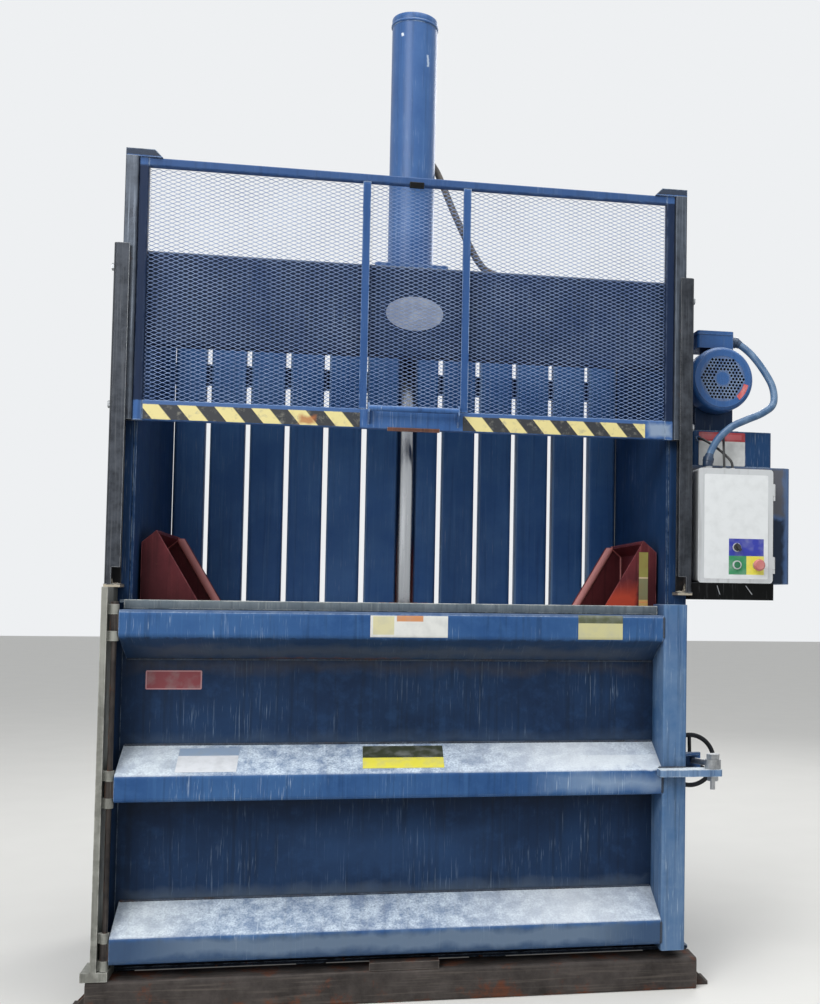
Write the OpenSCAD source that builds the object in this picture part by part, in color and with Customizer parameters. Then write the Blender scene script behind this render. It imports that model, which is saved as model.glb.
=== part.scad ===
// Vertical recycling baler: a welded chamber with a slatted back, a lower door
// on a side hinge, a mesh gate that slides in two guides, and a red platen that
// a central cylinder presses down. The power pack hangs on the right side.
// Millimetres, +Z up, the front faces -Y. The origin is on the floor, at the
// middle of the chamber, under the cylinder.

/* [Chamber] */
// Clear width between the side plates
chamber_w = 1740; // [1600:10:1800]
// Clear depth from the front of the posts to the back slats
chamber_d = 800; // [760:10:900]
// Top of the side walls
wall_top = 2364; // [2340:1:2420]
// Thickness of the side plates
wall_t = 8; // [5:1:12]
// Width of the frame from the chamber's inside face outwards
frame_w = 75; // [70:1:90]
// Depth of a front post
post_d = 60; // [50:1:70]
// Thickness of tubes and formed sections
section_t = 6; // [4:1:8]
// Height of a side stiffener
stiffener_h = 60; // [40:1:80]
// Bottom of the two middle side stiffeners
stiffener_z = [900, 1600]; // [850:1:1650]
// Rise of the side plates beside the crosshead
ear_rise = 51; // [45:1:60]
// Half length of that raised part, front to back
ear_half = 130; // [120:1:160]

/* [Base] */
// Height of the base beams
base_h = 100; // [80:1:120]
// Depth of the front sill
sill_d = 110; // [100:1:120]
// How far the sill's face stands before the posts
sill_front = 160; // [150:1:170]
// Depth of the rear beam
rear_beam_d = 120; // [100:1:140]
// Width of a cross member under the floor
cross_w = 90; // [70:1:120]
// Distance of each cross member from the middle
cross_x = 290; // [250:1:330]
// Thickness of the floor plate
floor_t = 10; // [6:1:14]
// Width of the rest tab on the sill
rest_w = 216; // [150:1:260]
// Height of the rest tab
rest_h = 24; // [18:1:26]
// Length of an anchor foot outside the frame
foot_l = 50; // [46:1:70]
// Width of an anchor foot
foot_w = 80; // [70:1:100]
// Thickness of an anchor foot
foot_t = 12; // [8:1:16]
// Distance of the anchor holes before and behind the origin
anchor_y = 480; // [478:1:485]
// Anchor hole outside the frame's face
anchor_out = 26; // [24:1:30]
// Diameter of an anchor hole
anchor_d = 22; // [16:1:26]

/* [Slats] */
// Distance between the tie slots
slat_pitch = 149.4; // [146:0.1:150]
// Width of a tie slot
slot_w = 20; // [14:1:26]
// Depth of a back slat
slat_d = 60; // [45:1:80]
// Height of a floor slat
floor_slat_h = 10; // [6:1:14]
// Height of a rear cross rail
rail_h = 80; // [60:1:100]
// Depth of a rear cross rail
rail_d = 50; // [35:1:70]
// Bottoms of the rear cross rails
rail_z = [330, 700, 1120, 2080]; // [200:1:2200]

/* [Header] */
// Height of the front header
header_h = 304; // [280:1:320]
// Thickness of the header sheet
header_t = 8; // [5:1:10]
// Depth of the header's returns
header_d = 50; // [40:1:70]
// How far the header sits behind the posts' face
header_set = 5; // [2:1:10]

/* [Crosshead] */
// Height of the crosshead channels
channel_h = 140; // [120:1:160]
// Flange width of a crosshead channel
channel_w = 60; // [50:1:70]
// Thickness of the crosshead channels
channel_t = 8; // [6:1:10]
// Thickness of the crosshead top plate
head_plate_t = 10; // [8:1:14]
// Distance of a channel's web from the middle
channel_y = 90; // [88:1:100]

/* [Cylinder] */
// Outside diameter of the tube
tube_d = 165; // [155:1:170]
// Wall of the tube
tube_t = 12.5; // [9:0.5:16]
// Top of the tube
tube_top = 3380; // [3360:1:3500]
// Tube below the crosshead
tube_below = 65; // [50:1:80]
// Side of the square mounting flange
flange_w = 260; // [250:1:280]
// Thickness of the mounting flange
flange_t = 30; // [20:1:40]
// Flange bolt spacing across the baler
flange_bolt_x = 216; // [200:1:226]
// Flange bolt spacing front to back
flange_bolt_y = 124; // [110:1:136]
// Diameter of the flange bolts
flange_bolt_d = 20; // [16:1:24]
// Height of the end cap's skirt
cap_h = 30; // [20:1:50]
// Thickness of the end cap
cap_t = 15; // [10:1:25]
// Wall of the end cap's skirt
cap_wall = 10; // [6:1:16]
// Height of the gland's collar
gland_h = 30; // [20:1:40]
// Length of the gland inside the tube
gland_in = 90; // [60:1:110]
// Diameter of the piston rod
rod_d = 76; // [70:1:82]
// Radial running clearance of the rod and the piston
run_fit = 0.05; // [0.02:0.01:0.09]
// Height of the piston
piston_h = 90; // [60:1:110]
// Length of the rod below the piston
rod_l = 1203; // [1195:1:1300]

/* [Platen] */
// Top of the platen in the lowered rest position
platen_top = 1200; // [1180:1:1210]
// Height of the platen
platen_h = 170; // [140:1:180]
// Gap between the platen and the side plates
platen_gap = 8; // [6:1:15]
// Gap between the platen and the back slats
platen_back_gap = 15; // [10:1:20]
// Thickness of the platen's plates
platen_t = 15; // [10:1:20]
// Height of the platen's rod flange
rod_flange_h = 30; // [20:1:40]
// Diameter of the platen's rod flange
rod_flange_d = 200; // [160:1:240]
// Height of the wings above the platen
wing_h = 268; // [240:1:275]
// Height of the wing's outer edge
wing_edge_h = 228; // [200:1:232]
// Reach of a wing along the platen
wing_l = 204; // [180:1:230]
// Distance of the wing's peak from its outer edge
wing_peak = 46; // [30:1:60]
// Thickness of the wing plates
wing_t = 10; // [6:1:12]
// Front of the front wing plate, before the middle
wing_front = 305; // [280:1:320]
// Back of the far wing plate, behind the middle
wing_back = 235; // [200:1:300]
// Radius of the bar along the far plate's slope
wing_bar_r = 16; // [10:1:18]
// Width of the level strip
strip_w = 32; // [20:1:36]
// Height of the level strip
strip_h = 205; // [150:1:210]

/* [Door] */
// Gap between the door and the posts
door_gap = 3; // [2:0.5:4]
// Thickness of the door skin
skin_t = 8; // [5:1:10]
// Bottom of the door skin
door_bottom = 130; // [126:1:135]
// Top of the door skin
door_top = 1241; // [1235:1:1245]
// Depth of the lip along the door's top
lip_d = 72; // [50:1:90]
// How far the door skin's left end stands outside the chamber
door_over = 23; // [20:1:25]
// Depth of the door ribs
rib_d = 149; // [140:1:152]
// Height of a rib's face
rib_face = 80; // [60:1:90]
// Height of a rib's slope
rib_slope = 76; // [50:1:90]
// Thickness of a rib
rib_t = 8; // [5:1:8]
// Bend radius of the formed sheets, on their outside
bend_r = 14; // [12:1:18]
// Bottom of the lower rib
rib_low = 146; // [142:1:170]
// Bottom of the middle rib
rib_mid = 629; // [600:1:660]
// Top of the upper rib
rib_high = 1212; // [1200:1:1215]
// Width of the latch post
latch_post_w = 80; // [70:1:90]
// How far the latch post's right side stands outside the chamber
latch_over = 34; // [30:1:36]
// Top of the latch post above the door skin
latch_post_rise = 7; // [3:1:10]

/* [Hinge] */
// Distance of the hinge line outside the chamber
hinge_out = 24; // [22:1:26]
// Hinge line behind the ribs' face
hinge_set = 13; // [12:0.5:13.5]
// Diameter of the hinge rod
hinge_rod_d = 16; // [12:1:18]
// Outside diameter of a knuckle
knuckle_d = 26; // [24:1:26]
// Height of a door knuckle
knuckle_h = 50; // [40:1:56]
// Height of a frame lug
lug_h = 30; // [20:1:40]
// Vertical gap between knuckle and lug
lug_gap = 0.8; // [0.5:0.1:1]
// Gap between the door's ribs and the hinge line
rib_end_gap = 14; // [14:0.5:16]
// Gap from the hinge line to the fixed plate
plate_gap = 20; // [20:1:24]
// Thickness of the fixed hinge plate
hinge_plate_t = 18; // [12:1:22]
// Height of the hinge plate's foot
hinge_foot_h = 28; // [20:1:29]

/* [Latch] */
// Top of the hasp plate
hasp_top = 716; // [700:1:730]
// Thickness of the hasp plate
hasp_t = 22; // [16:1:26]
// Depth of the hasp plate before the post
hasp_d = 60; // [50:1:70]
// Hasp plate to the left of the latch post
hasp_lap = 21; // [10:1:34]
// Hasp plate beyond the screw pivot
hasp_end = 25; // [20:1:27]
// Screw pivot from the frame
latch_side = 40; // [37:1:43]
// Screw pivot before the door's face
latch_out = 30; // [28:1:34]
// Radius of the screw's eye
eye_r = 26; // [22:1:28]
// Height of the screw's eye
eye_h = 30; // [26:1:34]
// Diameter of the pivot bolt
pivot_d = 16; // [12:1:20]
// Height of a hex head or nut on the pivot bolt
hex_h = 17; // [12:1:20]
// Diameter of the latch screw
screw_d = 18; // [14:1:20]
// How far the screw droops towards the wheel, in degrees
screw_tilt = 5; // [2:1:5]
// Depth of the screw's end in the eye
eye_grip = 10; // [6:1:14]
// Radial clearance of the screw's end in the eye
eye_play = 2.4; // [2:0.1:3]
// Start of the wheel hub along the screw
hub_start = 251; // [250:1:262]
// Length of the wheel hub
hub_l = 40; // [34:1:44]
// Radius of the wheel hub
hub_r = 27; // [22:1:28]
// Screw beyond the hub
screw_tail = 26; // [10:1:40]
// Outside radius of the wheel
wheel_r = 94; // [85:1:96]
// Radius of the wheel's rim
rim_r = 8; // [6:1:9]
// Thickness of the receiver
receiver_t = 16; // [12:1:16]
// Height of the receiver
receiver_h = 56; // [50:1:70]
// Reach of the receiver from the frame
receiver_l = 67; // [60:1:68]

/* [Guides] */
// Depth of the gate guides
guide_d = 70; // [66:1:74]
// Thickness of the guides
guide_t = 8; // [5:1:8]
// Width of the guide's front flange
guide_front_w = 48; // [40:1:52]
// Width of the guide's rear flange
guide_rear_w = 40; // [30:1:48]
// Bottom of the guides
guide_bottom = 1280; // [1275:1:1284]
// Guide below its top flange's cut
guide_cut = 62; // [40:1:80]
// Thickness of the guide's bottom plate
guide_lip = 10; // [6:1:12]
// Heights of the guide bolts
guide_bolt_z = [1854, 2291]; // [1400:1:2320]
// Diameter of the guide bolts
guide_bolt_d = 13; // [10:1:16]

/* [Gate] */
// Bottom of the raised gate
gate_bottom = 1808; // [1800:1:1815]
// Height of the gate
gate_h = 840; // [800:1:860]
// Width of the slide rail
slide_w = 40; // [34:1:42]
// Gap from a slide rail to the guide's web
slide_side_gap = 17; // [15:1:19]
// Depth of the gate's tubes
gate_tube_d = 30; // [24:1:34]
// Width of the gate's side tube
gate_side_w = 30; // [24:1:40]
// Height of the gate's bottom rail
gate_bottom_h = 64; // [50:1:80]
// Height of the gate's top rail
gate_top_h = 26; // [20:1:40]
// Distance of the upright bars from the middle
gate_bar_x = 165; // [140:1:200]
// Width of an upright bar
gate_bar_w = 25; // [16:1:30]
// Thickness of an upright bar
gate_bar_t = 12; // [8:1:14]
// Wall of the gate's tubes
gate_wall = 3; // [2:0.5:4]
// Thickness of the mesh
mesh_t = 5; // [3:1:8]
// Long way of a mesh opening
mesh_long = 229; // [210:1:260]
// Short way of a mesh opening
mesh_short = 95; // [90:1:120]
// Strand of the mesh
mesh_strand = 13; // [8:1:18]
// Length of the corner pieces on the top rail
corner_l = 112; // [90:1:140]
// Height of the corner pieces
corner_h = 24; // [16:1:30]
// Depth of the corner pieces
corner_d = 42; // [38:1:46]
// Half width of the gate handle
handle_half = 148; // [120:1:155]
// Reach of the handle before the rail
handle_d = 45; // [38:1:50]
// Thickness of the handle's gussets
handle_t = 5; // [3:1:6]
// Radius of the handle's bar
handle_r = 9.5; // [8:0.5:11]
// Top of the handle above the gate's bottom
handle_top = 71; // [66:1:76]
// Thickness of the hazard strips
tape_t = 1; // [0.5:0.1:2]
// Length of a wear pad
pad_h = 80; // [50:1:110]
// Gap between the wear pads and the guides
pad_gap = 0.5; // [0.3:0.1:1]

/* [Power pack] */
// Right side of the shelf from the frame
shelf_l = 295; // [285:1:310]
// Depth of the shelf, front to back
shelf_d = 580; // [560:1:600]
// Top of the shelf
shelf_top = 1324; // [1316:1:1330]
// Height of the shelf's apron
shelf_h = 58; // [45:1:70]
// Thickness of the shelf
shelf_t = 8; // [6:1:10]
// Front of the shelf before the posts
shelf_front = 50; // [48:1:60]
// Length of the oil tank
tank_l = 415; // [400:1:430]
// Depth of the oil tank
tank_d = 430; // [410:1:440]
// Height of the oil tank
tank_h = 416; // [400:1:424]
// Radius of the tank's upright edges
tank_r = 30; // [15:1:40]
// Wall of the tank and the boxes
tank_t = 4; // [3:0.5:6]
// Front of the oil tank before the middle
tank_front = 300; // [290:1:304]
// Left side of the pump box from the frame
pump_x = 45; // [40:1:60]
// Length of the pump box
pump_l = 295; // [280:1:310]
// Depth of the pump box
pump_d = 300; // [290:1:305]
// Height of the pump box
pump_h = 126; // [120:1:136]
// Motor axis from the frame
motor_x = 146; // [143:1:150]
// Motor axis above the pump box
motor_rise = 183; // [175:1:190]
// Radius of the motor over its fins
motor_r = 95; // [85:1:98]
// Height of the motor's fins
fin_h = 10; // [5:1:14]
// Thickness of a fin
fin_t = 3; // [2:0.5:4]
// Number of fins
fin_n = 32; // [24:1:40]
// Length of the motor body
motor_l = 250; // [230:1:260]
// Radius of the fan cover
cover_r = 110; // [108:1:112]
// Depth of the fan cover
cover_d = 90; // [80:1:100]
// Thickness of the fan cover
cover_t = 2.5; // [2:0.5:4]
// Radius of a hole in the fan cover
grille_r = 4.5; // [3:0.5:5]
// Rings of holes in the fan cover, by radius
grille_rings = [46, 60, 74, 88]; // [40:1:92]
// Holes in each ring
grille_n = 20; // [12:1:24]
// Radius of the fan shaft
shaft_r = 10; // [8:1:14]
// Reach of the fan blades
fan_r = 92; // [80:1:98]
// Width of the terminal box
term_w = 135; // [120:1:150]
// Depth of the terminal box
term_d = 130; // [110:1:135]
// Height of the terminal box
term_h = 62; // [50:1:70]
// Gap between the fan cover and the terminal box
term_gap = 6; // [3:1:10]
// Diameter of the filler cap
filler_d = 60; // [45:1:70]
// Filler cap from the frame
filler_x = 205; // [190:1:240]
// Filler cap from the tank's back
filler_y = 60; // [50:1:90]

/* [Controls] */
// Left side of the control box from the frame
panel_x = 25; // [20:1:30]
// Width of the control box
panel_w = 267; // [262:1:270]
// Height of the control box
panel_h = 392; // [380:1:400]
// Depth of the control box behind its door
panel_d = 122; // [110:1:130]
// Corner radius of the control box
panel_r = 12; // [6:1:18]
// Depth of the control box door
lid_d = 20; // [16:1:24]
// Sheet of the control box and its door
lid_t = 3; // [2:0.5:3]
// Gap between the box and its door
lid_gap = 0.6; // [0.4:0.1:1]
// Columns of the controls from the box's left side
control_x = [137, 210]; // [120:1:230]
// Rows of the controls above the box's bottom
control_z = [62, 122]; // [50:1:140]
// Travel of the push buttons
press = 4; // [3:0.5:5]

/* [Cables] */
// Diameter of the motor conduit
conduit_d = 26; // [20:1:28]
// Diameter of the hydraulic hoses
hose_d = 25; // [20:1:26]
// Diameter of the control cables
cable_d = 9; // [6:1:12]

/* [Hidden] */
$fn = 48;

// Steps round a sheet metal bend
bend_steps = 4;

// Chamber and frame
half_w = chamber_w / 2;
half_d = chamber_d / 2;
frame_x = half_w + frame_w;
floor_z = base_h + floor_t;
back_y = half_d + slat_d;
sill_y = -half_d - sill_front;
crosshead_top = wall_top + ear_rise;
crosshead_z = crosshead_top - head_plate_t - channel_h;
slots = floor((chamber_w - slot_w) / slat_pitch / 2);
slot_x = [for (n = [-slots:slots]) n * slat_pitch];

// Cylinder and platen
tube_z = crosshead_z - tube_below;
tube_r = tube_d / 2;
bore_r = tube_r - tube_t;
flange_z = crosshead_top;
rod_z = platen_top + rod_flange_h;
piston_z = rod_z + rod_l;
platen_x = half_w - platen_gap;
platen_y = half_d - platen_back_gap;

// Door
skin_back = -half_d - door_gap;
skin_front = skin_back - skin_t;
door_front = skin_front - rib_d;
door_left = half_w + door_over;
latch_post_x = half_w + latch_over;
latch_post_left = latch_post_x - latch_post_w;
hinge_x = half_w + hinge_out;
rib_left = -hinge_x + rib_end_gap;
hinge_y = door_front + hinge_set;
hinge_plate_x = -hinge_x - plate_gap - hinge_plate_t;
knuckle_z = [
    rib_low + (rib_face - knuckle_h) / 2,
    rib_mid + (rib_face - knuckle_h) / 2,
    rib_high - (rib_face + knuckle_h) / 2
];
pivot_fit = 0.05;

// Latch
latch_x = frame_x + latch_side;
latch_y = door_front - latch_out;
hasp_x = [latch_post_left - hasp_lap, latch_x + hasp_end];
eye_seat = 0.3;
eye_z = hasp_top + eye_seat + eye_h / 2;
receiver_back = -half_d + post_d - 4;
receiver_z = eye_z - (receiver_back - receiver_t / 2 - latch_y) * tan(screw_tilt);
screw_start = eye_r - eye_grip;

// Gate
gate_top = gate_bottom + gate_h;
guide_y = -half_d - guide_d;
slide_x = frame_x - guide_t - slide_side_gap;
slide_gap = (guide_d - 2 * guide_t - slide_w) / 2;
slide_y = -half_d - guide_t - slide_gap;
gate_back = slide_y;
gate_front = gate_back - gate_tube_d;
gate_side_x = slide_x - slide_w;
mesh_x = gate_side_x - gate_side_w;
mesh_y = gate_front + gate_bar_t;
mesh_z = [gate_bottom + gate_bottom_h, gate_top - gate_top_h];
tape_x = [[-mesh_x + 2, -gate_bar_x - 8], [gate_bar_x - 3, mesh_x - 69]];

// Power pack
tank_z = shelf_top;
tank_top = tank_z + tank_h;
pump_top = tank_top + pump_h;
motor_at = [frame_x + motor_x, pump_top + motor_rise];
cover_y = -tank_front - 30;
motor_y = cover_y + cover_d - 18;
term_z = motor_at[1] + cover_r + term_gap;
term_y = cover_y + 40;
filler_at = [frame_x + filler_x, tank_d - tank_front - filler_y];

// Control box
panel_at = [frame_x + panel_x, -half_d - shelf_front, shelf_top];
lid_front = panel_at.y;
lid_back = lid_front + lid_d;
lid_hinge = [panel_at.x + panel_w + 5, lid_front + 6];
lid_hinge_z = [panel_at.z + 50, panel_at.z + panel_h - 90];
lid_knuckle_h = 40;

// A route written from the frame's side
function from_frame(p) = [for (q = p) [frame_x + q.x, q.y, q.z]];

// Route of the motor conduit
conduit_path = concat(
    [[motor_at.x - 14 + term_w / 2, -232, term_z + 32]],
    from_frame([
        [230, -236, 2197], [277, -255, 2155], [319, -275, 2092],
        [345, -293, 2030], [339, -315, 1968], [291, -335, 1930],
        [231, -350, 1903], [171, -362, 1874], [119, -375, 1830],
        [87, -385, 1780], [panel_x + 50, -390, 1740],
        [panel_x + 50, lid_back + 40, panel_at.z + panel_h + 12]
    ])
);
// Route of the hose from the cylinder's cap end to the pump box
hose_cap_path = concat(
    [
        [0, tube_r + 40, tube_top - 80], [0, 152, tube_top - 80], [3, 180, 3284],
        [7, 188, 3245], [11, 178, 3190], [18, 152, 3110],
        [28, 122, 3020], [62, 100, 2920], [92, 52, 2850], [112, -15, 2775],
        [150, -60, 2665], [200, -95, 2545], [250, -130, 2450], [300, -172, 2408],
        [400, -205, 2375], [560, -220, 2350], [700, -215, 2358]
    ],
    from_frame([
        [-145, -200, 2385], [-65, -185, 2402], [0, -165, 2388],
        [27, -135, 2330], [33, -80, 2240], [39, -10, 2140],
        [55, 50, 2030], [71, 78, 1930], [79, 74, 1850],
        [81, 45, 1806], [81, pump_d - tank_front + 18, 1798]
    ])
);
// Route of the hose from the cylinder's rod end to the pump box
hose_gland_path = concat(
    [
        [0, tube_r + 40, tube_z + 32], [0, 150, tube_z + 32], [22, 182, 2262],
        [90, 200, 2315], [250, 208, 2335], [480, 210, 2340], [680, 208, 2355]
    ],
    from_frame([
        [-145, 204, 2385], [-65, 200, 2402], [3, 194, 2384], [35, 186, 2310],
        [55, 170, 2180], [85, 142, 2040], [121, 112, 1920], [141, 82, 1838],
        [145, 48, 1804], [145, pump_d - tank_front + 18, 1798]
    ])
);
// Routes of the two control cables into the top of the control box
cable_paths = [
    from_frame([
        [65, -tank_front - 12, 1836], [79, -330, 1828],
        [107, -352, 1806], [139, -372, 1776], [161, -386, 1748],
        [panel_x + 140, lid_back + 40, panel_at.z + panel_h + 8]
    ]),
    from_frame([
        [151, -tank_front - 12, 1850], [149, -332, 1842],
        [141, -362, 1810], [panel_x + 110, -384, 1772],
        [panel_x + 110, lid_back + 40, panel_at.z + panel_h + 8]
    ])
];

// Colours
blue = "#2f5f9c";
dark_blue = "#24487a";
red = "#a8392c";
rust = "#6a5a50";
bare = "#8a8c8f";
black = "#202124";
pale = "#c9cbca";
yellow = "#d9b62c";

// A box between two values on each axis
module span(x, y, z) {
    translate([x[0], y[0], z[0]])
        cube([x[1] - x[0], y[1] - y[0], z[1] - z[0]]);
}

// Extrusions of an outline along each axis
module along_x(x) {
    translate([x[0], 0, 0])
        rotate([90, 0, 90])
            linear_extrude(x[1] - x[0])
                children();
}

module along_y(y) {
    translate([0, y[1], 0])
        rotate([90, 0, 0])
            linear_extrude(y[1] - y[0])
                children();
}

module along_z(z) {
    translate([0, 0, z[0]])
        linear_extrude(z[1] - z[0])
            children();
}

// A round bar along Y, centred on the origin's axis
module bar_y(r, y, sides = $fn) {
    translate([0, y[0], 0])
        rotate([-90, 0, 0])
            cylinder(r = r, h = y[1] - y[0], $fn = sides);
}

module both_sides() {
    children();
    mirror([1, 0, 0])
        children();
}

// A rectangle with round corners
module round_rect(x, y, r) {
    translate([x[0] + r, y[0]])
        square([x[1] - x[0] - 2 * r, y[1] - y[0]]);
    translate([x[0], y[0] + r])
        square([x[1] - x[0], y[1] - y[0] - 2 * r]);
    for (u = [x[0] + r, x[1] - r], v = [y[0] + r, y[1] - r])
        translate([u, v])
            circle(r);
}

// The wall of a round-cornered tube
module tube_section(x, y, r, t) {
    difference() {
        round_rect(x, y, r);
        round_rect([x[0] + t, x[1] - t], [y[0] + t, y[1] - t], r - t);
    }
}

// Sheet metal: a strip of thickness t to the left of a bent line
function unit(v) = v / norm(v);
function left(v) = [-v.y, v.x];
function turn(u, v) = atan2(u.x * v.y - u.y * v.x, u * v);

function bend(a, b, c, r, off) =
    let (u = unit(b - a))
    let (v = unit(c - b))
    let (w = turn(u, v))
    let (s = sign(w))
    let (m = b - u * r * tan(abs(w) / 2) + left(u) * r * s)
    [
        for (k = [0:bend_steps])
            let (d = w * k / bend_steps)
            m - s * (r - s * off) * (left(u) * cos(d) - u * sin(d))
    ];

function edge_line(p, r, off) = concat(
    [p[0] + off * left(unit(p[1] - p[0]))],
    [for (i = [1:len(p) - 2]) each bend(p[i - 1], p[i], p[i + 1], r, off)],
    [p[len(p) - 1] + off * left(unit(p[len(p) - 1] - p[len(p) - 2]))]
);

module formed(p, r, t) {
    inner = edge_line(p, r, t);
    polygon(concat(edge_line(p, r, 0), [for (i = [len(inner) - 1:-1:0]) inner[i]]));
}

// Hoses: rings of points carried along a smooth line through the route
function smooth(p, i, t) =
    let (a = p[max(i - 1, 0)])
    let (b = p[i])
    let (c = p[i + 1])
    let (d = p[min(i + 2, len(p) - 1)])
    0.5 * (2 * b + (c - a) * t + (2 * a - 5 * b + 4 * c - d) * t * t
        + (3 * b - a - 3 * c + d) * t * t * t);

function route(p, n) = concat(
    [for (i = [0:len(p) - 2], k = [0:n - 1]) smooth(p, i, k / n)],
    [p[len(p) - 1]]
);

function axis_of(v) =
    let (m = max([for (c = v) abs(c)]))
    [for (c = v) abs(c) == m ? sign(c) : 0];

// The two end rings are square to the faces that they meet
function headings(p) = [
    for (i = [0:len(p) - 1])
        let (v = unit(p[min(i + 1, len(p) - 1)] - p[max(i - 1, 0)]))
        i == 0 || i == len(p) - 1 ? axis_of(v) : v
];

// Each ring's first direction is the last one's, turned square to the route
function sides_of(t, n, i = 0) =
    i == len(t) ? [] :
    let (m = unit(n - (n * t[i]) * t[i]))
    concat([m], sides_of(t, m, i + 1));

module hose(points, d, steps, sides = 10) {
    p = route(points, steps);
    t = headings(p);
    m = sides_of(t, cross(t[0], [0.31, 0.42, 0.85]));
    rings = [
        for (i = [0:len(p) - 1], k = [0:sides - 1])
            let (a = 360 * k / sides)
            p[i] + d / 2 * (cos(a) * m[i] + sin(a) * cross(t[i], m[i]))
    ];
    walls = [
        for (i = [0:len(p) - 2], k = [0:sides - 1])
            let (a = i * sides + k)
            let (b = i * sides + (k + 1) % sides)
            [a, a + sides, b + sides, b]
    ];
    first = [for (k = [0:sides - 1]) k];
    last = [for (k = [sides - 1:-1:0]) (len(p) - 1) * sides + k];
    polyhedron(rings, concat(walls, [first, last]));
}

// Front sill: a closed box beam with a rest tab for the door
module front_sill() {
    color(rust) {
        along_x([-frame_x, frame_x])
            tube_section([sill_y, sill_y + sill_d], [0, base_h], 10, section_t);
        span([-rest_w / 2, rest_w / 2], [sill_y + 2, sill_y + 42], [base_h, base_h + rest_h]);
    }
}

// Base frame behind the sill: side sills, rear beam and two cross members
module base_frame() {
    inner_y = sill_y + sill_d;
    color(dark_blue) {
        along_x([-frame_x, frame_x])
            tube_section([half_d, half_d + rear_beam_d], [0, base_h], 10, section_t);
        both_sides()
            along_y([inner_y, half_d])
                tube_section([half_w, frame_x], [0, base_h], 8, section_t);
        both_sides()
            along_y([inner_y, half_d])
                tube_section([cross_x - cross_w / 2, cross_x + cross_w / 2], [0, base_h], 8, section_t);
    }
}

// Four anchor feet, each a drilled plate with two gussets
module anchor_feet() {
    gusset_t = 6;
    gusset_h = 45;
    color(rust)
        for (sy = [-1, 1])
            both_sides()
                difference() {
                    union() {
                        span([frame_x, frame_x + foot_l],
                            [sy * anchor_y - foot_w / 2, sy * anchor_y + foot_w / 2], [0, foot_t]);
                        for (g = [-foot_w / 2, foot_w / 2 - gusset_t])
                            along_y([sy * anchor_y + g, sy * anchor_y + g + gusset_t])
                                polygon([
                                    [frame_x, foot_t], [frame_x + foot_l - 8, foot_t],
                                    [frame_x, foot_t + gusset_h]
                                ]);
                    }
                    translate([frame_x + anchor_out, sy * anchor_y, -1])
                        cylinder(d = anchor_d, h = foot_t + 2);
                }
}

module floor_plate() {
    color(dark_blue)
        span([-frame_x, frame_x], [sill_y + sill_d, back_y], [base_h, floor_z]);
}

// Edges of slat i, counted from the left wall, between the tie slots
function slat_edges(i) = [
    i == 0 ? -half_w : slot_x[i - 1] + slot_w / 2,
    i == len(slot_x) ? half_w : slot_x[i] - slot_w / 2
];

// Floor slats with chamfered top edges, one between each pair of tie channels
module floor_slats() {
    chamfer = 3;
    color(dark_blue)
        for (i = [0:len(slot_x)]) {
            e = slat_edges(i);
            along_y([-half_d, half_d])
                polygon([
                    [e[0], floor_z], [e[1], floor_z],
                    [e[1], floor_z + floor_slat_h - chamfer],
                    [e[1] - chamfer, floor_z + floor_slat_h],
                    [e[0] + chamfer, floor_z + floor_slat_h],
                    [e[0], floor_z + floor_slat_h - chamfer]
                ]);
        }
}

// Side wall: plate with a raised ear, two tube posts and four stiffeners
module side_wall() {
    rear_post = back_y - half_d + post_d;
    plate_out = half_w + wall_t;
    color(blue) {
        along_x([half_w, plate_out])
            polygon([
                [-half_d, floor_z], [half_d, floor_z], [half_d, wall_top],
                [ear_half + ear_rise, wall_top], [ear_half, crosshead_top],
                [-ear_half, crosshead_top], [-ear_half - ear_rise, wall_top],
                [-half_d, wall_top]
            ]);
        along_z([floor_z, wall_top])
            tube_section([plate_out, frame_x], [-half_d, -half_d + post_d], 8, section_t);
        along_z([floor_z, wall_top])
            tube_section([plate_out, frame_x], [back_y - rear_post, back_y], 8, section_t);
        for (z = concat([floor_z], stiffener_z, [wall_top - stiffener_h]))
            along_y([-half_d + post_d, back_y - rear_post])
                formed([
                    [plate_out, z], [frame_x, z],
                    [frame_x, z + stiffener_h], [plate_out, z + stiffener_h]
                ], bend_r, section_t);
    }
}

// Back wall: formed channel slats with their flanges to the rear
module back_slats() {
    color(blue)
        for (i = [0:len(slot_x)]) {
            e = slat_edges(i);
            along_z([floor_z, wall_top])
                formed([[e[0], back_y], [e[0], half_d], [e[1], half_d], [e[1], back_y]],
                    bend_r, section_t);
        }
}

module back_rails() {
    color(blue)
        for (z = rail_z)
            along_x([-frame_x, frame_x])
                formed([
                    [back_y, z], [back_y + rail_d, z],
                    [back_y + rail_d, z + rail_h], [back_y, z + rail_h]
                ], bend_r, section_t);
}

// Front header: a pan whose returns stiffen the top of the feed opening
module header_panel() {
    y = -half_d + header_set;
    color(blue)
        along_x([-half_w, half_w])
            formed([
                [y + header_d, wall_top], [y, wall_top],
                [y, wall_top - header_h], [y + header_d, wall_top - header_h]
            ], bend_r, header_t);
}

// Crosshead: two channels back to back under a top plate that is cut for the tube
module crosshead() {
    flange_y = channel_y + channel_w;
    top = crosshead_z + channel_h;
    color(blue) {
        for (s = [0, 1])
            mirror([0, s, 0])
                along_x([-half_w, half_w])
                    formed([
                        [flange_y, top], [channel_y, top],
                        [channel_y, crosshead_z], [flange_y, crosshead_z]
                    ], bend_r, channel_t);
        difference() {
            span([-half_w, half_w], [-ear_half, ear_half], [top, crosshead_top]);
            translate([0, 0, top - 1])
                cylinder(r = tube_r, h = head_plate_t + 2);
            flange_bolt_holes([top - 1, crosshead_top + 1]);
        }
    }
}

module at_flange_bolts() {
    for (x = [-1, 1], y = [-1, 1])
        translate([x * flange_bolt_x / 2, y * flange_bolt_y / 2, 0])
            children();
}

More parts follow.
